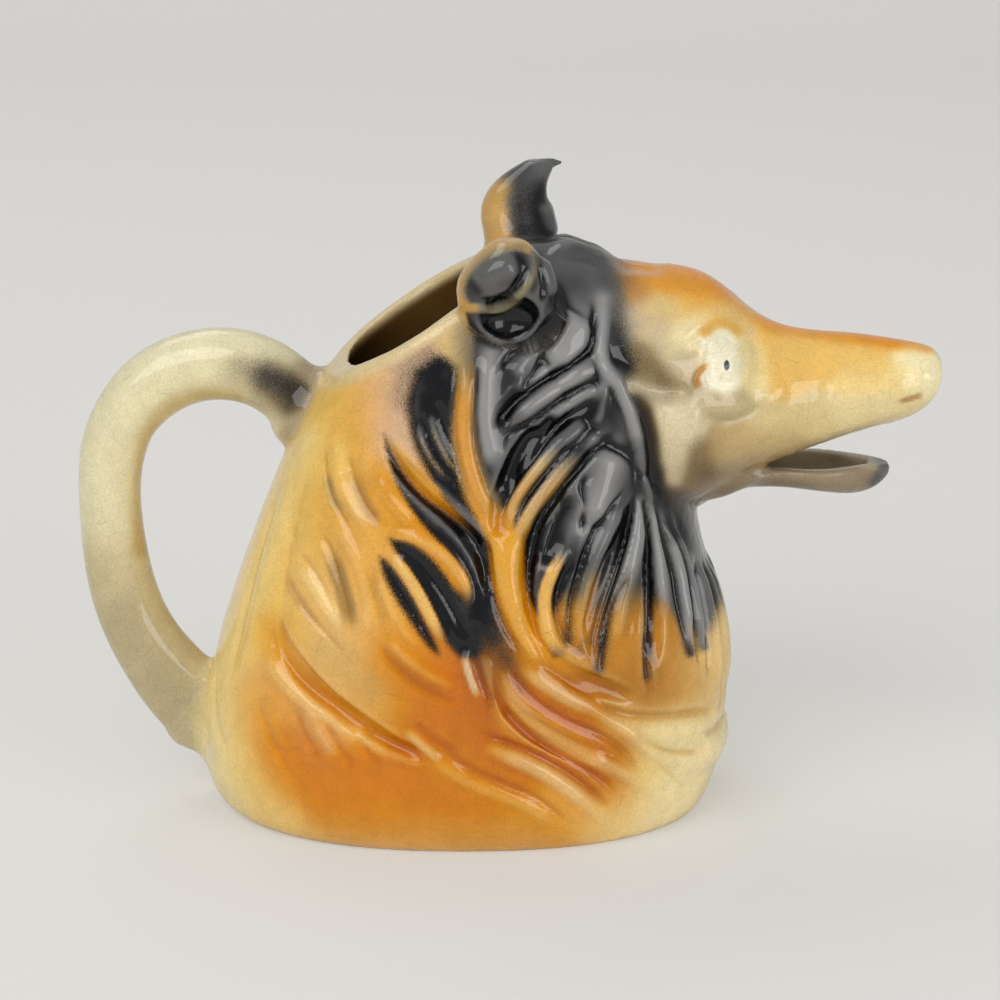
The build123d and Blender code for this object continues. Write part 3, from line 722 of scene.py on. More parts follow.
# The dog's face. The eye is a point in mm, with its half sizes.
face = {
    "relief": [
        (1.7, 14, 14, [(540, 243), (566, 243), (588, 246), (604, 252), (618, 262)]),  # crown
        (-1.0, 16, 16, [(612, 268), (630, 262), (650, 263), (672, 266)]),
        (0.7, 18, 18, [(690, 352), (704, 322), (724, 312), (744, 322)]),              # brow
        (-0.6, 12, 12, [(744, 322), (758, 345), (758, 375), (748, 396)]),             # eye hollow
        (0.8, 15, 17, [(724, 340), (730, 362), (726, 384)]),                          # eyeball
        (-0.35, 4, 4, [(712, 332), (708, 350), (706, 372), (712, 392)]),
        (-0.4, 4, 4, [(684, 348), (690, 338), (698, 330), (708, 326)]),               # brow cuts
        (-0.4, 4, 4, [(684, 352), (696, 346), (708, 341)]),
        (-0.5, 5, 6, [(702, 390), (696, 380), (701, 369), (711, 363)]),               # eye corner
        (0.7, 18, 18, [(690, 396), (712, 406), (736, 404), (756, 396)]),              # eye pouch
        (-0.5, 9, 9, [(694, 408), (716, 420), (742, 416), (764, 402)]),
        (0.5, 12, 12, [(762, 410), (778, 392), (786, 378)]),                          # cheek fold
        (0.6, 9, 9, [(692, 402), (695, 424), (684, 448), (674, 478)]),                # cheek ridge
        (-0.9, 11, 11, [(638, 398), (647, 428), (653, 462), (655, 496)]),             # cheek hollow
        (-0.7, 18, 18, [(606, 342), (624, 360), (650, 372), (688, 388)]),             # temple
        (-0.5, 12, 12, [(700, 436), (706, 456), (700, 478)]),
        (-0.4, 9, 9, [(716, 470), (742, 464), (768, 454)]),                           # mouth corner
        (0.35, 12, 12, [(775, 447), (805, 442), (840, 430), (880, 420), (912, 408)]),  # upper lip
        (-0.3, 4, 4, [(896, 402), (908, 399), (920, 395), (932, 392)]),               # nostril
        (0.3, 10, 10, [(916, 372), (928, 376), (934, 388)]),                          # nose pad
    ],
    "washes": [
        ("#6b6763", 12, [(576, 250), (594, 262), (606, 285)]),
        ("#8d8579", 10, [(618, 300), (624, 325)]),
        ("#bd8648", 13, [(630, 274), (634, 292)]),
        ("#e09a3c", 15, [(655, 272), (690, 284), (714, 300)]),
        ("#e68e24", 7, [(640, 267), (680, 270), (712, 283), (736, 305), (762, 321), (800, 329),
                        (860, 337), (925, 344)]),
        ("#e9b45a", 11, [(690, 305), (730, 311), (760, 331)]),
        ("#d0ba94", 15, [(636, 315), (656, 326)]),
        ("#e2c284", 13, [(655, 308), (682, 312)]),
        ("#ecdaa8", 9, [(672, 345), (690, 322), (715, 311), (738, 314), (750, 330)]),
        ("#dda850", 4.5, [(706, 330), (716, 322), (728, 323), (740, 331)]),
        ("#f3ebcc", 11, [(722, 342), (727, 360), (722, 380)]),
        ("#bfac84", 10, [(704, 404), (728, 408), (752, 402)]),
        ("#ead49a", 10, [(750, 346), (758, 372), (756, 392)]),
        ("#e9bc6a", 12, [(776, 366), (784, 384)]),
        ("#ecbf6c", 17, [(785, 346), (830, 354), (870, 360)]),
        ("#f0d28c", 15, [(855, 378), (900, 380)]),
        ("#f5e7b8", 16, [(914, 362), (924, 384)]),
        ("#e4cf9a", 13, [(840, 412), (880, 405), (915, 400)]),
        ("#d9c28a", 15, [(770, 420), (820, 420)]),
        ("#c6aa78", 15, [(720, 450), (760, 448), (790, 442)]),
        ("#e2d4b0", 12, [(688, 402), (688, 432)]),
        ("#8a7350", 16, [(704, 456), (698, 482)]),
        ("#d6c49e", 8, [(692, 402), (695, 425), (684, 448), (674, 478)]),
        ("#dccba4", 11, [(668, 412), (672, 436), (670, 458)]),
        ("#41351f", 8, [(639, 402), (648, 430), (654, 465), (656, 495)]),
        ("#55483a", 13, [(664, 502), (690, 508)]),
        ("#a08862", 11, [(735, 474), (775, 464)]),
        ("#93805e", 13, [(642, 360), (656, 374)]),
        ("#a08b66", 9, [(672, 388), (690, 394)]),
        ("#c9b792", 10, [(664, 345), (676, 366)]),
        ("#b8a98c", 9, [(640, 390), (664, 398)]),
    ],
    "smudges": [
        (0.95, 15, [(606, 336), (614, 352), (622, 366)]),
        (0.26, 16, [(636, 352), (652, 366), (664, 380)]),
        (0.14, 10, [(664, 382), (684, 392), (700, 402)]),
        (0.6, 8, [(636, 400), (646, 432), (654, 470), (658, 498)]),
        (0.55, 14, [(660, 500), (690, 512), (700, 530)]),
        (0.30, 15, [(694, 448), (700, 474)]),
        (0.2, 12, [(666, 440), (664, 470)]),
        (0.26, 16, [(716, 474), (750, 470)]),
        (0.62, 17, [(604, 262), (612, 290), (612, 330)]),
        (0.2, 9, [(620, 262), (630, 280)]),
    ],
    "locks": [
        ("#bf7c30", 0.8, 3.2, [(711, 363), (703, 368), (697, 376), (697, 384), (702, 391)]),
        # The two brow cuts below are painted highlights: pale lines of light along the cuts
        ("#f3e3b0", 0.7, 3, [(696, 331), (690, 340), (686, 347)]),
        ("#f3e3b0", 0.7, 3, [(706, 342), (696, 346), (685, 351)]),
        ("#96653a", 0.6, 3, [(896, 403), (910, 399), (926, 394)]),
        ("#c9b48c", 0.6, 4, [(778, 452), (820, 440), (860, 428), (910, 414)]),
    ],
    "eye": (44.5, 15.0, 81.6),
    "eyeHalf": (0.5, 3.0, 0.85),
    "eyeColour": "#39404a",
}
# Hair on the front and the back: distance from the middle plane and height, in mm
chest = [
    (-1.0, 1.3, 1.3, [(3.0, 46), (2.8, 40), (3.6, 32), (3.2, 24), (4.0, 18)]),
    (-1.0, 1.3, 1.3, [(7.0, 47), (8.0, 40), (9.4, 32), (9.8, 24), (11.0, 17)]),
    (-1.0, 1.3, 1.3, [(10.5, 48), (12.6, 41), (14.6, 33), (16.0, 25)]),
    (0.7, 1.6, 1.6, [(5.0, 45), (5.4, 38), (6.5, 31), (6.8, 22)]),
    (0.7, 1.6, 1.6, [(9.0, 46), (10.4, 39), (12.0, 31), (13.0, 22)]),
    (0.6, 1.5, 1.5, [(0.0, 44), (0.8, 36), (0.6, 28), (1.0, 20)]),
    (-1.1, 1.6, 2.0, [(-8.0, 15.4), (8.0, 15.6), (15.0, 16.6), (20.0, 18.6)]),
    (1.2, 3.5, 3.5, [(-8.0, 11.8), (8.0, 12.0), (15.0, 12.8), (21.0, 14.6)]),
]
back = [
    (-0.5, 2.0, 2.0, [(9.0, 60), (11.5, 48), (14.0, 36), (15.0, 24)]),
    (-0.5, 2.0, 2.0, [(14.5, 66), (17.5, 54), (20.5, 42), (22.5, 30)]),
    (0.5, 2.2, 2.2, [(11.8, 62), (14.4, 50), (17.0, 38), (18.6, 26)]),
    (-0.5, 2.2, 2.2, [(5.0, 30), (8.0, 24), (13.0, 18), (19.0, 13)]),
]
jaw = {
    "widening": 0.28,       # how much wider than the solid the trough flares
    "flare": (62.0, 10.0),  # mm, the middle and reach of the flare along x
    "relief": [
        (0.35, 5, 5, [(760, 458), (800, 459), (850, 463), (884, 464)]),               # rolled rim
    ],
    "washes": [
        ("#8b7a63", 20, [(700, 485), (760, 480), (830, 484), (880, 480)]),
        ("#9c8d77", 9, [(720, 474), (780, 472), (850, 478)]),
        # A painted highlight: pale line of light along the jaw's rim
        ("#cdc3ae", 3.5, [(740, 464), (780, 459), (830, 462), (884, 466)]),
        ("#85754f", 9, [(785, 450), (830, 447), (870, 456)]),
    ],
    "smudges": [
        (1.0, 11, [(888, 458), (885, 472), (878, 486)]),
        (0.22, 12, [(730, 492), (790, 494), (850, 496)]),
    ],
}
# The near ear, folded over a dark hollow. Its view isn't mirrored.
nearEar = {
    "relief": [
        # Lip
        (0.8, 5, 5, [(466, 302), (480, 309), (498, 309), (514, 300), (526, 285), (533, 267),
                     (528, 252)]),
        (-0.7, 6, 6, [(474, 298), (494, 300), (510, 292), (520, 278), (525, 264)]),
        (1.0, 18, 18, [(474, 288), (496, 270), (520, 258)]),
        (-1.2, 12, 12, [(480, 346), (500, 354), (524, 350), (544, 334), (556, 312)]),
        (0.8, 6, 6, [(540, 254), (550, 276), (554, 300)]),
        (-0.8, 5, 5, [(533, 250), (541, 268), (544, 290), (538, 306)]),
    ],
    "washes": [
        ("#c79a56", 9, [(524, 243), (500, 241), (476, 252), (459, 272), (455, 298), (460, 322),
                        (470, 340)]),
        ("#8a8268", 6, [(468, 290), (476, 270), (496, 252), (520, 248)]),
        ("#6f6a5c", 10, [(500, 310), (520, 296), (532, 272)]),
        ("#5a5650", 12, [(545, 256), (552, 290)]),
    ],
    "black": [
        (0.98, 4, [(470, 303), (466, 288), (476, 270), (494, 257), (516, 251), (530, 256), (532, 268),
                   (522, 286), (508, 299), (488, 305)]),
        # Black glaze of the ear's inside, carried over the hollow under the lip as painted shade
        (0.99, 4, [(466, 312), (484, 313), (504, 312), (520, 302), (533, 284), (540, 262), (536, 246),
                   (552, 246), (572, 280), (576, 330), (560, 366), (500, 366), (474, 350), (469, 334)]),
    ],
    "smudges": [
        (0.35, 5, [(466, 300), (466, 284), (478, 266), (500, 250), (524, 247)]),
    ],
    "locks": [
        ("#8d8560", 0.55, 3.5, [(468, 305), (484, 310), (502, 309), (516, 300), (528, 285),
                                (534, 268)]),
    ],
}
# The far ear, standing, with its tip curled forwards
farEar = {
    "relief": [
        (0.8, 11, 11, [(543, 196), (547, 212), (552, 226), (560, 240)]),
    ],
    "washes": [
        ("#c29a58", 10, [(500, 184), (484, 204), (480, 222), (486, 242)]),
        ("#d0a368", 10, [(496, 215), (498, 240)]),
        # The grey down the middle of the ear is a painted reflection on its glossy black face
        ("#77726a", 10, [(520, 190), (524, 228)]),
        ("#4c4e4e", 10, [(505, 168), (530, 158), (556, 164)]),
    ],
    "black": [
        (0.72, 13, [(510, 180), (524, 150), (575, 150), (590, 245), (520, 245), (508, 215)]),
        (0.9, 8, [(540, 150), (575, 150), (590, 250), (548, 250), (536, 210)]),
    ],
    "smudges": [
        (0.45, 10, [(500, 176), (520, 162), (545, 158)]),
    ],
}
loopHandle = {
    "washes": [
        ("#e2dab6", 42, [(86, 480), (92, 440), (112, 395), (150, 355), (200, 338), (240, 345)]),
        ("#e4d8ac", 34, [(100, 500), (112, 450), (140, 408), (180, 378), (220, 372)]),
        # Painted shade: darker ochre along the handle's inner edge
        ("#bda26a", 7, [(235, 398), (200, 394), (165, 408), (146, 440), (140, 490), (142, 550)]),
        ("#cbbb92", 42, [(104, 590), (120, 630), (160, 684), (200, 730)]),
        ("#a99a78", 20, [(124, 620), (150, 660), (180, 706)]),
        ("#a08f70", 16, [(236, 372), (262, 380)]),
        ("#6b5a3e", 14, [(270, 380), (292, 392)]),
        ("#b3a184", 9, [(306, 372), (318, 388), (300, 430)]),
        ("#e0d2a2", 14, [(205, 680), (208, 750)]),
    ],
    "smudges": [
        (0.62, 18, [(266, 378), (284, 384), (296, 390)]),
        (0.3, 16, [(238, 366), (262, 372), (290, 400)]),
        (0.16, 24, [(104, 560), (130, 640), (180, 706)]),
    ],
}


# The pieces that sit in their own view, which isn't mirrored
ears = [(["right_ear", "right_ear_luting"], nearEar), (["left_ear", "left_ear_luting"], farEar)]

# How the strokes are pressed in. A pair fades from nothing at its first value
# to all at its second.
press = {
    "hairTaper": 0.22,          # the share of a stroke over which each end fades
    "faceTaper": 0.35,
    "pieceTaper": 0.3,
    "ridgeSpread": 1.3,         # a ridge is this much wider than it says
    "narrowGroove": 10,         # pixels, a groove with less reach than this is cut sharp
    "sharpness": 1.5,
    "facing": (0.08, 0.42),     # as the skin turns to the view
    "earFacing": (-0.5, 0.1),
    "bodyShare": (0.6, 1.0),    # from the edge of the body
    "bodyRounds": 6,
    "pieceRounds": 4,
    "foot": (0.3, 2.5),         # mm, up from the foot
    "chestFacing": (0.45, 0.85),
    "chestPlace": (20, 26),     # mm, towards the front
    "backFacing": (0.25, 0.7),
    "backPlace": (8, 14),       # mm, towards the back
    "ripples": [(0.08, 5.0, 3), (0.03, 1.6, 5)],    # mm high, mm of grain, seed
    "levelRounds": 30,          # how widely the level round each point is taken
    "levelAmount": 0.9,
}


# The height that strokes add at each place, in mm
def strokeRelief(places, strokes, taper=press["hairTaper"]):
    height = np.zeros(len(places))
    for depth, left, right, line in strokes:
        near, offset, share = alongLine(places, line, max(left, right) * press["ridgeSpread"])
        spread = press["ridgeSpread"] if depth > 0 else 1.0
        reach = np.where(offset > 0, right, left) * spread
        across = np.clip(1 - np.abs(offset) / reach, 0, 1)
        isCut = depth < 0 and max(left, right) < press["narrowGroove"]
        profile = across ** press["sharpness"] if isCut else smoothStep(0, 1, across)
        height[near] += depth * profile * endTaper(share, taper)
    return height


def shareOf(names):
    return np.isin(labels, [pieceNames.index(name) for name in names]).astype(float)


# The hair and the face, in mm at each point of the skin
def pressRelief(points, normals):
    places = toPicture(points)
    facing = smoothStep(*press["facing"], sideFacing(normals, points[:, 1]))
    hair = strokeRelief(places, mane["relief"]) * mane["depthShare"]
    hair += strokeRelief(places, ruff["relief"]) * ruff["depthShare"]
    hair += strokeRelief(places, face["relief"], press["faceTaper"])
    relief = hair * facing
    planes = np.stack([np.abs(points[:, 1]), points[:, 2]], 1)
    turned = smoothStep(*press["chestFacing"], normals[:, 0])
    relief += strokeRelief(planes, chest) * turned * smoothStep(*press["chestPlace"], points[:, 0])
    turned = smoothStep(*press["backFacing"], -normals[:, 0])
    relief += strokeRelief(planes, back) * turned * smoothStep(*press["backPlace"], -points[:, 0])
    for high, grain, seed in press["ripples"]:
        relief += high * softNoise(points, grain, seed)
    body = soften(shareOf(["body_casting", "jaw_luting"]), edges, press["bodyRounds"])
    relief *= outside * smoothStep(*press["bodyShare"], body) * smoothStep(*press["foot"], points[:, 2])
    jawShare = soften(shareOf(["lower_jaw"]), edges, press["pieceRounds"])
    relief += strokeRelief(places, jaw["relief"], press["pieceTaper"]) * jawShare * facing
    seen = toPicture(points, mirrored=False)
    facing = smoothStep(*press["earFacing"], sideFacing(normals, -1))
    for names, ear in ears:
        share = soften(shareOf(names), edges, press["pieceRounds"])
        relief += strokeRelief(seen, ear["relief"], press["pieceTaper"]) * share * facing
    return relief


print("pressing the relief")
middle, reach = jaw["flare"]
flare = smoothStep(1, 0, np.abs(points[:, 0] - middle) / reach) * shareOf(["lower_jaw"])
points[:, 1] *= 1 + jaw["widening"] * flare
points = points + normals * pressRelief(points, normals)[:, None]
points = evenOut(points, edges, 1)
normals = pointNormals(points, faces)
# How high each point stands over its surroundings, in mm: locks +, grooves -
level = relax(points, edges, press["levelRounds"], press["levelAmount"])
height = ((points - level) * normals).sum(1)


paint = {
    "ground": "#dcbc80",
    "groundWeight": 0.004,      # how little it counts beside a wash
    "washReach": 3.4,           # how far each wash goes, in its own softness
    "smudgeReach": 2.2,         # the same for a smudge
    "lockReach": 1.4,           # and for a lock
    "lockEdge": (0.55, 1.3),    # a lock's paint is full up to here, and gone there
    "lockTaper": 0.3,           # the share of a lock over which each end fades
    "overspray": 14,            # rounds, how far paint of one piece runs onto the next
    "leastShare": 0.01,         # less of another piece's paint than this is left out
    "poolAndShadeTint": (0.84, 0.73, 0.55),   # the glaze pools in grooves, darker and redder, with painted shade in them too
    "poolAndShadeShare": 0.45,
    "poolAndShadeDepth": (0.04, 0.36),        # mm
    "thinGlazeAndHighlightColour": "#f6deb0",           # and runs thin over locks, paler, with a painted highlight on them too
    "thinGlazeAndHighlightShare": 0.22,
    "thinGlazeAndHighlightHeight": (0.04, 0.34),        # mm
    "faceShare": 0.35,          # how much of both shows on the smooth face
    "faceStart": (600, 640),    # pixels across, where the face begins
    "faceEnd": (500, 540),      # pixels down, where it ends
    "thinAndSheenShare": 0.3,           # how far the black turns grey over a high lock: running thin, and a painted sheen
    "thinAndSheenHeight": (0.05, 0.4),  # mm
    "thinAndSheenStroke": (-0.22, 0.06),        # mm, the depths from which the grey strokes of painted reflection show
}


# Moves some of the colours towards one colour
def layOver(colours, which, hexColour, cover):
    colours[which] += (toScreen(hexColour) - colours[which]) * cover[:, None]


# Soft colours that run into each other
def blendWashes(places, washes):
    total = np.full(len(places), paint["groundWeight"])
    colours = toScreen(paint["ground"]) * total[:, None]
    for colour, softness, line in washes:
        near, offset, _ = alongLine(places, line, softness * paint["washReach"])
        weight = np.exp(-(offset / softness) ** 2)
        total[near] += weight
        colours[near] += toScreen(colour) * weight[:, None]
    return colours / total[:, None]


def layBlack(stain, places, patches, share):
    for strength, softness, outline in patches:
        near, depth = insideOutline(places, outline)
        cover = strength * smoothStep(-softness, softness, depth) * share[near]
        stain[near] += (1 - stain[near]) * cover


def laySmudges(stain, places, smudges, share):
    for strength, reach, line in smudges:
        near, offset, _ = alongLine(places, line, reach * paint["smudgeReach"])
        cover = strength * np.exp(-(offset / reach) ** 2) * share[near]
        stain[near] += (1 - stain[near]) * cover


def layLocks(colours, stain, places, locks, share):
    for colour, strength, reach, line in locks:
        near, offset, walked = alongLine(places, line, reach * paint["lockReach"])
        across = 1 - smoothStep(*paint["lockEdge"], np.abs(offset) / reach)
        cover = strength * across * endTaper(walked, paint["lockTaper"]) * share[near]
        stain[near] *= 1 - cover
        if colour != "wipe":
            layOver(colours, near, colour, cover)


# The airbrushed colours, with painted shade in the grooves and painted highlights on the locks, and the
# black stain at every point of the skin
def paintSkin(points):
    places = toPicture(points)
    seen = toPicture(points, mirrored=False)
    everywhere = slice(None)
    stain = np.zeros(len(points))
    softer = [(colour, softness * ruff["softness"], line) for colour, softness, line in ruff["washes"]]
    colours = blendWashes(places, softer + mane["washes"] + face["washes"])
    body = soften(shareOf(["body_casting"]), edges, paint["overspray"])
    layBlack(stain, places, mane["black"], body)
    laySmudges(stain, places, mane["smudges"] + face["smudges"], body)
    layLocks(colours, stain, places, mane["locks"] + ruff["locks"] + face["locks"], body)

    own = [(["handle", "handle_upper_luting", "handle_lower_luting"], loopHandle, places),
           (["lower_jaw", "jaw_luting"], jaw, places)]
    own += [(names, ear, seen) for names, ear in ears]
    for names, piece, drawn in own:
        share = soften(shareOf(names), edges, paint["overspray"])
        mine = share > paint["leastShare"]
        full = np.ones(mine.sum())
        pieceColours = blendWashes(drawn[mine], piece["washes"])
        pieceStain = np.zeros(mine.sum())
        layBlack(pieceStain, drawn[mine], piece.get("black", []), full)
        laySmudges(pieceStain, drawn[mine], piece["smudges"], full)
        layLocks(pieceColours, pieceStain, drawn[mine], piece.get("locks", []), full)
        colours[mine] += (pieceColours - colours[mine]) * share[mine, None]
        stain[mine] += (pieceStain - stain[mine]) * share[mine]

    onFace = smoothStep(*paint["faceStart"], places[:, 0])
    onFace *= 1 - smoothStep(*paint["faceEnd"], places[:, 1])
    calm = paint["faceShare"] + (1 - paint["faceShare"]) * body * (1 - onFace)
    # Grooves darkened: glaze pooling and painted shade. Locks paled: thin glaze and painted highlight.
    poolAndShade = smoothStep(*paint["poolAndShadeDepth"], -height) * paint["poolAndShadeShare"]
    thinGlazeAndHighlight = smoothStep(*paint["thinGlazeAndHighlightHeight"], height) * paint["thinGlazeAndHighlightShare"]
    colours *= 1 - (poolAndShade * calm)[:, None] * (1 - np.array(paint["poolAndShadeTint"]))
    # Painted highlight on the locks, with the glaze running thin over them
    layOver(colours, everywhere, paint["thinGlazeAndHighlightColour"], thinGlazeAndHighlight * calm)

    atRim = 1 - smoothStep(*rim["paintReach"], np.abs(rimDistance(points)))
    atRim *= body * (points[:, 0] < rim["front"][0])
    layOver(colours, everywhere, rim["colour"], atRim * rim["paintShare"])
    # The inside of the jug is painted dark tan as painted shade
    shadedInside = (1 - outside) * shareOf(["body_casting", "jaw_luting"]) * (1 - atRim)
    layOver(colours, everywhere, rim["insideShadeColour"], shadedInside)
    stain *= (1 - atRim) * (1 - shadedInside)

    # Grey on the black: painted reflections on high locks and lobes, partly the black running thin
    thinAndSheen = paint["thinAndSheenShare"] * smoothStep(*paint["thinAndSheenHeight"], height)
    laySmudges(thinAndSheen, places, mane["thinAndSheen"], body * smoothStep(*paint["thinAndSheenStroke"], height))
    return np.clip(colours, 0, 1), stain, thinAndSheen


print("painting")
colours, stain, thinAndSheen = paintSkin(points)


# How the cuts between pieces are smoothed: the points on a cut along it, then
# the points beside it, less and less with the distance
cuts = {
    "rounds": 8,
    "amount": 0.5,
    "besideRounds": 3,
    "besideSpread": 0.9,
    "besideGain": 4,
    "besideMost": 0.6,
}


def straightenBorders(points, faces, faceLabels):
    sides = np.concatenate([faces[:, [k, (k + 1) % 4]] for k in range(4)])
    owner = np.tile(faceLabels, 4)
    sides.sort(axis=1)
    order = np.lexsort((sides[:, 1], sides[:, 0]))
    sides, owner = sides[order], owner[order]
    pair = (sides[1:] == sides[:-1]).all(1)
    borders = sides[1:][pair & (owner[1:] != owner[:-1])]
    onBorder = np.zeros(len(points))
    onBorder[borders.ravel()] = 1
    moved = relax(points, borders, cuts["rounds"], cuts["amount"] * onBorder)
    moved = np.where(onBorder[:, None] > 0, moved, points)
    beside = relax(onBorder, edges, cuts["besideRounds"], cuts["besideSpread"])
    beside = np.clip(beside * cuts["besideGain"], 0, cuts["besideMost"])
    return relax(moved, edges, cuts["besideRounds"], np.where(onBorder > 0, 0, beside))


# Closes each cut of a piece with a cap
def capCuts(shape):
    left = {edge for edge in shape.edges if edge.is_boundary}
    while left:
        loop = [left.pop()]
        queue = [loop[0]]
        while queue:
            for corner in queue.pop().verts:
                for edge in corner.link_edges:
                    if edge in left:
                        left.remove(edge)
                        loop.append(edge)
                        queue.append(edge)
        for edge in loop:
            edge.smooth = False
        bmesh.ops.triangle_fill(shape, edges=loop, use_beauty=True)
    bmesh.ops.recalc_face_normals(shape, faces=shape.faces)


# One closed piece: its share of the skin, with its paint
def cutPiece(name, label, faceLabels):
    mine = faces[faceLabels == label]
    used, local = np.unique(mine, return_inverse=True)
    mesh = bpy.data.meshes.new(name + "_glazed")
    mesh.from_pydata((points[used] * millimetre).tolist(), [], local.reshape(-1, 4).tolist())
    linear = np.maximum(linearLight(colours[used]) - glaze["veil"], glaze["deepest"])
    rgba = np.concatenate([linear, np.ones((len(used), 1))], 1)
    mesh.attributes.new("paint", "FLOAT_COLOR", "POINT").data.foreach_set("color", rgba.ravel())
    for layer, values in (("stain", stain), ("thinAndSheen", thinAndSheen)):
        mesh.attributes.new(layer, "FLOAT", "POINT").data.foreach_set("value", values[used])
    shape = bmesh.new()
    shape.from_mesh(mesh)
    capCuts(shape)
    for face in shape.faces:
        face.smooth = True
    shape.to_mesh(mesh)
    shape.free()
    piece = bpy.data.objects.new(name + "_glazed", mesh)
    bpy.context.scene.collection.objects.link(piece)
    return piece


# Adds a node. Settings set its properties or sockets, links join its sockets to outputs.
def addNode(material, kind, settings=None, links=None):
    node = material.node_tree.nodes.new(kind)
    for key, value in (settings or {}).items():
        if isinstance(key, str) and hasattr(node, key):
            setattr(node, key, value)
        else:
            node.inputs[key].default_value = value
    for key, source in (links or {}).items():
        material.node_tree.links.new(source, node.inputs[key])
    return node


glaze = {
    "grains": {                 # mm, and levels of detail
        "spatter": (0.22, 1),   # the dots at the edge of a sprayed stain
        "mottle": (3.5, 4),     # clouds in the colour
        "grit": (0.3, 2),       # fine specks of the airbrush under the glaze
        "orangePeel": (1.4, 1),         # the slow ripple of a sprayed glaze
    },
    "crazing": 2.6,             # mm, the cells between the hair cracks in the old glaze
    # The part of a pattern that counts, and what it becomes there
    "cloud": ((0.3, 0.7), (0.93, 1.04)),        # mottle to shade
    "speck": ((0.35, 0.65), (0.9, 1.05)),       # grit to shade
    "crack": ((0, 0.025), (0.86, 1)),           # distance from a crack to shade
    "roughness": ((0.35, 0.65), (0.192, 0.312)),        # mottle to roughness under the coat
    "dusting": 0.7,             # how far the dots break up the edge of the black
    "stainEdge": (0.08, 0.9),   # the black's share from none to all
    "stainColour": "#050609",
    "thinAndSheenStainColour": "#9d9b98",       # grey where the black runs thin over a lock, lightened as a painted reflection
    "jawStainColour": "#1f1e1d",
    "peelBump": (0.12, 0.3),    # strength, and mm of depth
    "gritBump": (0.08, 0.05),
    "ior": 1.5,                 # soft glaze is close to window glass
    "bodyGloss": 0.1,           # specular level under the coat
    "coatWeight": 0.6,
    "coatRoughness": 0.05,
    "veil": 0.025,              # the gloss lifts every colour by this, so the paint is laid deeper
    "deepest": 0.002,
    "eyeEdge": (1.15, 0.8),     # of the eye's half sizes, from bare to painted
}


# Where the eye is painted on, from the place in metres
def eyeShare(material, place):
    centre = [value * millimetre for value in face["eye"]]
    half = [value * millimetre for value in face["eyeHalf"]]
    apart = addNode(material, "ShaderNodeSeparateXYZ", None, {0: place}).outputs
    aside = addNode(material, "ShaderNodeMath", {"operation": "ABSOLUTE"}, {0: apart["Y"]}).outputs[0]
    folded = addNode(material, "ShaderNodeCombineXYZ", None,
                     {"X": apart["X"], "Y": aside, "Z": apart["Z"]}).outputs[0]
    away = addNode(material, "ShaderNodeVectorMath", {"operation": "SUBTRACT", 1: centre},
                   {0: folded}).outputs[0]
    scaled = addNode(material, "ShaderNodeVectorMath", {"operation": "DIVIDE", 1: half},
                     {0: away}).outputs[0]
    radius = addNode(material, "ShaderNodeVectorMath", {"operation": "LENGTH"},
                     {0: scaled}).outputs["Value"]
    bare, full = glaze["eyeEdge"]
    return addNode(material, "ShaderNodeMapRange",
                   {"interpolation_type": "SMOOTHSTEP", "From Min": bare, "From Max": full},
                   {"Value": radius}).outputs["Result"]


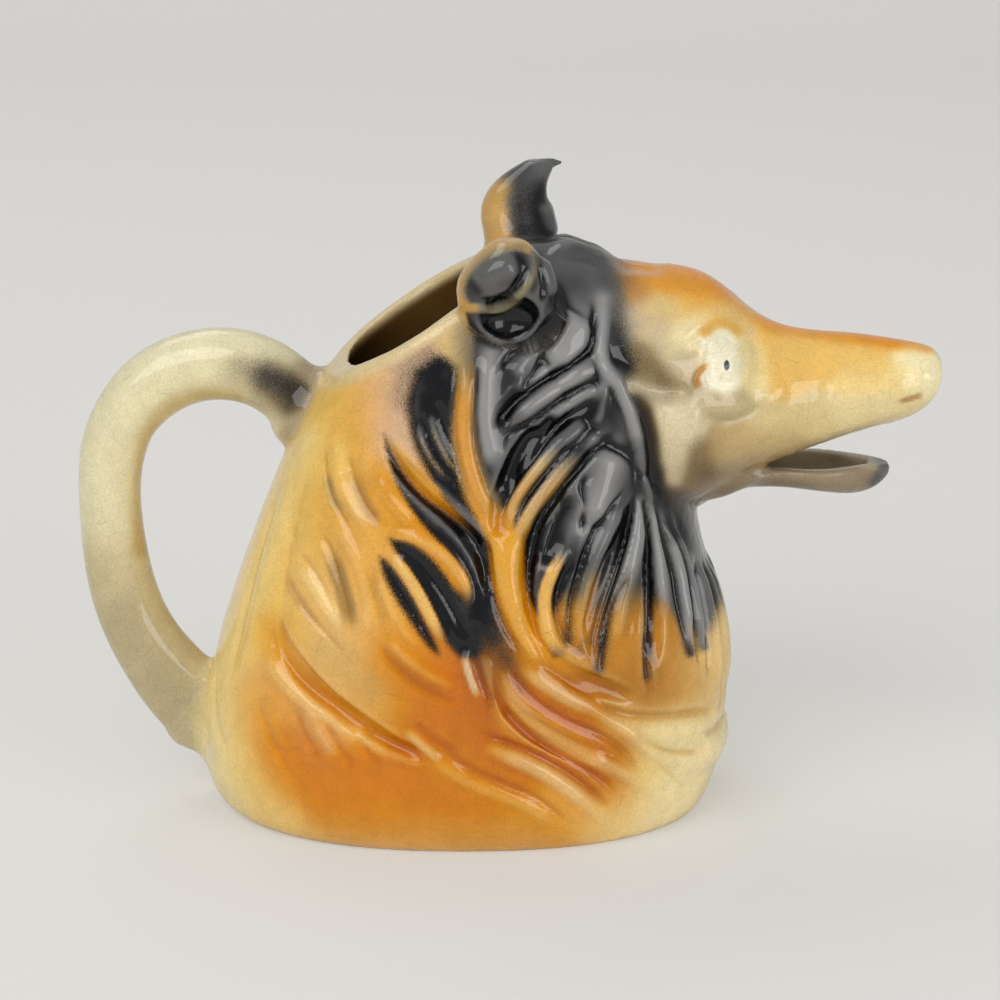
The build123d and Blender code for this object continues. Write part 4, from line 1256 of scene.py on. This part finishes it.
# Airbrushed earthenware under a clear fired glaze: soft colour, speckled where
# the stain thins out, grey painted reflections on the black, and a wet gloss over all of it
def earthenwareGlaze(name, stainColour, hasEye=False):
    material = bpy.data.materials.new(name)
    material.use_nodes = True
    material.node_tree.nodes.clear()
    place = addNode(material, "ShaderNodeTexCoord").outputs["Object"]
    grain = {}
    for kind, (size, detail) in glaze["grains"].items():
        grain[kind] = addNode(material, "ShaderNodeTexNoise",
                              {"Scale": 1 / (size * millimetre), "Detail": detail},
                              {"Vector": place}).outputs["Fac"]
    layer = {}
    for kind, output in (("paint", "Color"), ("stain", "Fac"), ("thinAndSheen", "Fac")):
        layer[kind] = addNode(material, "ShaderNodeAttribute", {"attribute_name": kind}).outputs[output]
    # Clouds, specks of the airbrush, cracks, and a rougher body where it is cloudy
    cells = addNode(material, "ShaderNodeTexVoronoi",
                    {"feature": "DISTANCE_TO_EDGE", "Scale": 1 / (glaze["crazing"] * millimetre)},
                    {"Vector": place}).outputs["Distance"]
    graded = {}
    sources = {"cloud": grain["mottle"], "speck": grain["grit"], "crack": cells,
               "roughness": grain["mottle"]}
    for kind, source in sources.items():
        (low, high), (first, last) = glaze[kind]
        graded[kind] = addNode(material, "ShaderNodeMapRange",
                               {"From Min": low, "From Max": high, "To Min": first, "To Max": last},
                               {"Value": source}).outputs["Result"]
    dusted = addNode(material, "ShaderNodeMath", {"operation": "MULTIPLY"},
                     {0: graded["cloud"], 1: graded["speck"]}).outputs[0]
    shade = addNode(material, "ShaderNodeMath", {"operation": "MULTIPLY"},
                    {0: dusted, 1: graded["crack"]}).outputs[0]
    clouded = addNode(material, "ShaderNodeMix",
                      {"data_type": "RGBA", "blend_type": "MULTIPLY", "Factor": 1.0},
                      {6: layer["paint"], 7: shade}).outputs[2]
    # The black, dusted on, turned grey where it runs thin and where painted reflections lie
    dots = addNode(material, "ShaderNodeMath",
                   {"operation": "MULTIPLY_ADD", 1: glaze["dusting"], 2: -glaze["dusting"] / 2},
                   {0: grain["spatter"]}).outputs[0]
    edge = addNode(material, "ShaderNodeMath", {"operation": "ADD"},
                   {0: layer["stain"], 1: dots}).outputs[0]
    none, full = glaze["stainEdge"]
    cover = addNode(material, "ShaderNodeMapRange",
                    {"interpolation_type": "SMOOTHSTEP", "From Min": none, "From Max": full},
                    {"Value": edge}).outputs["Result"]
    black = addNode(material, "ShaderNodeMix",
                    {"data_type": "RGBA", 6: toLinear(stainColour),
                     7: toLinear(glaze["thinAndSheenStainColour"])},
                    {0: layer["thinAndSheen"]}).outputs[2]
    colour = addNode(material, "ShaderNodeMix", {"data_type": "RGBA"},
                     {0: cover, 6: clouded, 7: black}).outputs[2]
    if hasEye:
        colour = addNode(material, "ShaderNodeMix",
                         {"data_type": "RGBA", 7: toLinear(face["eyeColour"])},
                         {0: eyeShare(material, place), 6: colour}).outputs[2]
    strength, depth = glaze["peelBump"]
    ripple = addNode(material, "ShaderNodeBump", {"Strength": strength, "Distance": depth * millimetre},
                     {"Height": grain["orangePeel"]}).outputs["Normal"]
    strength, depth = glaze["gritBump"]
    fine = addNode(material, "ShaderNodeBump", {"Strength": strength, "Distance": depth * millimetre},
                   {"Height": grain["grit"], "Normal": ripple}).outputs["Normal"]
    shader = addNode(material, "ShaderNodeBsdfPrincipled",
                     {"IOR": glaze["ior"], "Specular IOR Level": glaze["bodyGloss"],
                      "Coat Weight": glaze["coatWeight"], "Coat Roughness": glaze["coatRoughness"],
                      "Coat IOR": glaze["ior"]},
                     {"Base Color": colour, "Roughness": graded["roughness"], "Normal": fine})
    addNode(material, "ShaderNodeOutputMaterial", None, {"Surface": shader.outputs["BSDF"]})
    return material


slotMaterials = {
    "painted_ruff_glaze": earthenwareGlaze("paintedRuffGlaze", glaze["stainColour"], hasEye=True),
    "ivory_glaze": earthenwareGlaze("ivoryGlaze", glaze["jawStainColour"]),
    "grey_jaw_glaze": earthenwareGlaze("greyJawGlaze", glaze["jawStainColour"]),
    "black_ear_glaze": earthenwareGlaze("blackEarGlaze", glaze["stainColour"]),
}

print("cutting the skin into pieces")
faceLabels = labels[faces].max(1)
points = straightenBorders(points, faces, faceLabels)
slots = {row["node"]: row["material_slot"] for row in frame["record"]["subparts"]}
for label, name in enumerate(pieceNames):
    piece = cutPiece(name, label, faceLabels)
    piece.data.materials.append(slotMaterials[slots[name]])
    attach(piece, "root")
    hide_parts(name)
    print(name, len(piece.data.polygons))


studio = {
    "floorColour": "#e3e1dc",
    "floorGlow": 0.45,          # how much of the floor's look is its plain colour
    "floorRoughness": 0.7,
    "paperGrain": 1.111,        # mm
    "paperBump": (0.05, 0.1),   # strength, and mm of depth
    "worldColour": "#e8ebf0",
    "worldStrength": 0.48,
    "floorDepth": 3.0,          # metres
    "floorWidth": 4.5,          # metres
    "wallHeight": 2.1,          # metres
    "bend": 0.5,                # metres, radius of the sweep behind
    "lights": [
        # where it hangs, width and height in metres, watts
        ((-0.60, -1.05, 1.05), 1.27, 0.95, 13.2),
        ((1.05, -1.00, 0.36), 0.70, 0.84, 7.2),
        ((-0.42, 0.63, 1.19), 0.84, 0.56, 3.2),
    ],
}


# Matt paper. The camera sees part of its plain colour, so that it stays pale far behind.
def paperMaterial():
    material = bpy.data.materials.new("palePaper")
    material.use_nodes = True
    material.node_tree.nodes.clear()
    colour = toLinear(studio["floorColour"])
    place = addNode(material, "ShaderNodeTexCoord").outputs["Object"]
    grain = addNode(material, "ShaderNodeTexNoise",
                    {"Scale": 1 / (studio["paperGrain"] * millimetre), "Detail": 2.0},
                    {"Vector": place}).outputs["Fac"]
    strength, depth = studio["paperBump"]
    bump = addNode(material, "ShaderNodeBump", {"Strength": strength, "Distance": depth * millimetre},
                   {"Height": grain}).outputs["Normal"]
    paper = addNode(material, "ShaderNodeBsdfPrincipled",
                    {"Base Color": colour, "Roughness": studio["floorRoughness"]},
                    {"Normal": bump}).outputs["BSDF"]
    glow = addNode(material, "ShaderNodeEmission", {"Color": colour}).outputs["Emission"]
    ray = addNode(material, "ShaderNodeLightPath").outputs["Is Camera Ray"]
    share = addNode(material, "ShaderNodeMath", {"operation": "MULTIPLY", 1: studio["floorGlow"]},
                    {0: ray}).outputs[0]
    seen = addNode(material, "ShaderNodeMixShader", None, {0: share, 1: paper, 2: glow}).outputs[0]
    addNode(material, "ShaderNodeOutputMaterial", None, {"Surface": seen})
    return material


# A pale floor that sweeps up behind the jug
def buildStage():
    near, far = -studio["floorDepth"] / 2, studio["floorDepth"] / 2
    side = studio["floorWidth"] / 2
    bend = studio["bend"]
    profile = [(near, 0.0), (far - bend, 0.0)]
    for angle in np.linspace(0.1, math.pi / 2, 12):
        profile.append((far - bend + bend * math.sin(angle), bend - bend * math.cos(angle)))
    profile.append((far, studio["wallHeight"]))
    mesh = bpy.data.meshes.new("studioFloor")
    corners = [(x, y, z) for x in (-side, side) for y, z in profile]
    count = len(profile)
    mesh.from_pydata(corners, [], [(k, k + 1, k + 1 + count, k + count) for k in range(count - 1)])
    for face in mesh.polygons:
        face.use_smooth = True
    floor = bpy.data.objects.new("studioFloor", mesh)
    floor.data.materials.append(paperMaterial())
    bpy.context.scene.collection.objects.link(floor)


def aim(thing, place, target):
    thing.location = place
    thing.rotation_euler = (Vector(target) - Vector(place)).to_track_quat("-Z", "Y").to_euler()
    bpy.context.scene.collection.objects.link(thing)


def buildLights():
    target = [value * millimetre for value in view["target"]]
    for index, (place, width, height, power) in enumerate(studio["lights"]):
        lamp = bpy.data.lights.new("softbox" + str(index), "AREA")
        lamp.shape = "RECTANGLE"
        lamp.size = width
        lamp.size_y = height
        lamp.energy = power
        aim(bpy.data.objects.new(lamp.name, lamp), place, target)
    world = bpy.data.worlds.new("paleRoom")
    world.use_nodes = True
    background = world.node_tree.nodes["Background"].inputs
    background["Color"].default_value = toLinear(studio["worldColour"])
    background["Strength"].default_value = studio["worldStrength"]
    bpy.context.scene.world = world


def buildCamera():
    camera = bpy.data.cameras.new("camera")
    camera.sensor_width = view["sensor"]
    camera.lens = view["sensor"] * view["focal"] / view["width"]
    x, y, z = (value * millimetre for value in view["target"])
    away = view["distance"] * millimetre
    place = (x, y - away * math.cos(view["elevation"]), z + away * math.sin(view["elevation"]))
    holder = bpy.data.objects.new("camera", camera)
    aim(holder, place, (x, y, z))
    bpy.context.scene.camera = holder


print("setting the studio")
buildStage()
buildLights()
buildCamera()
bpy.context.scene.view_settings.view_transform = "Standard"
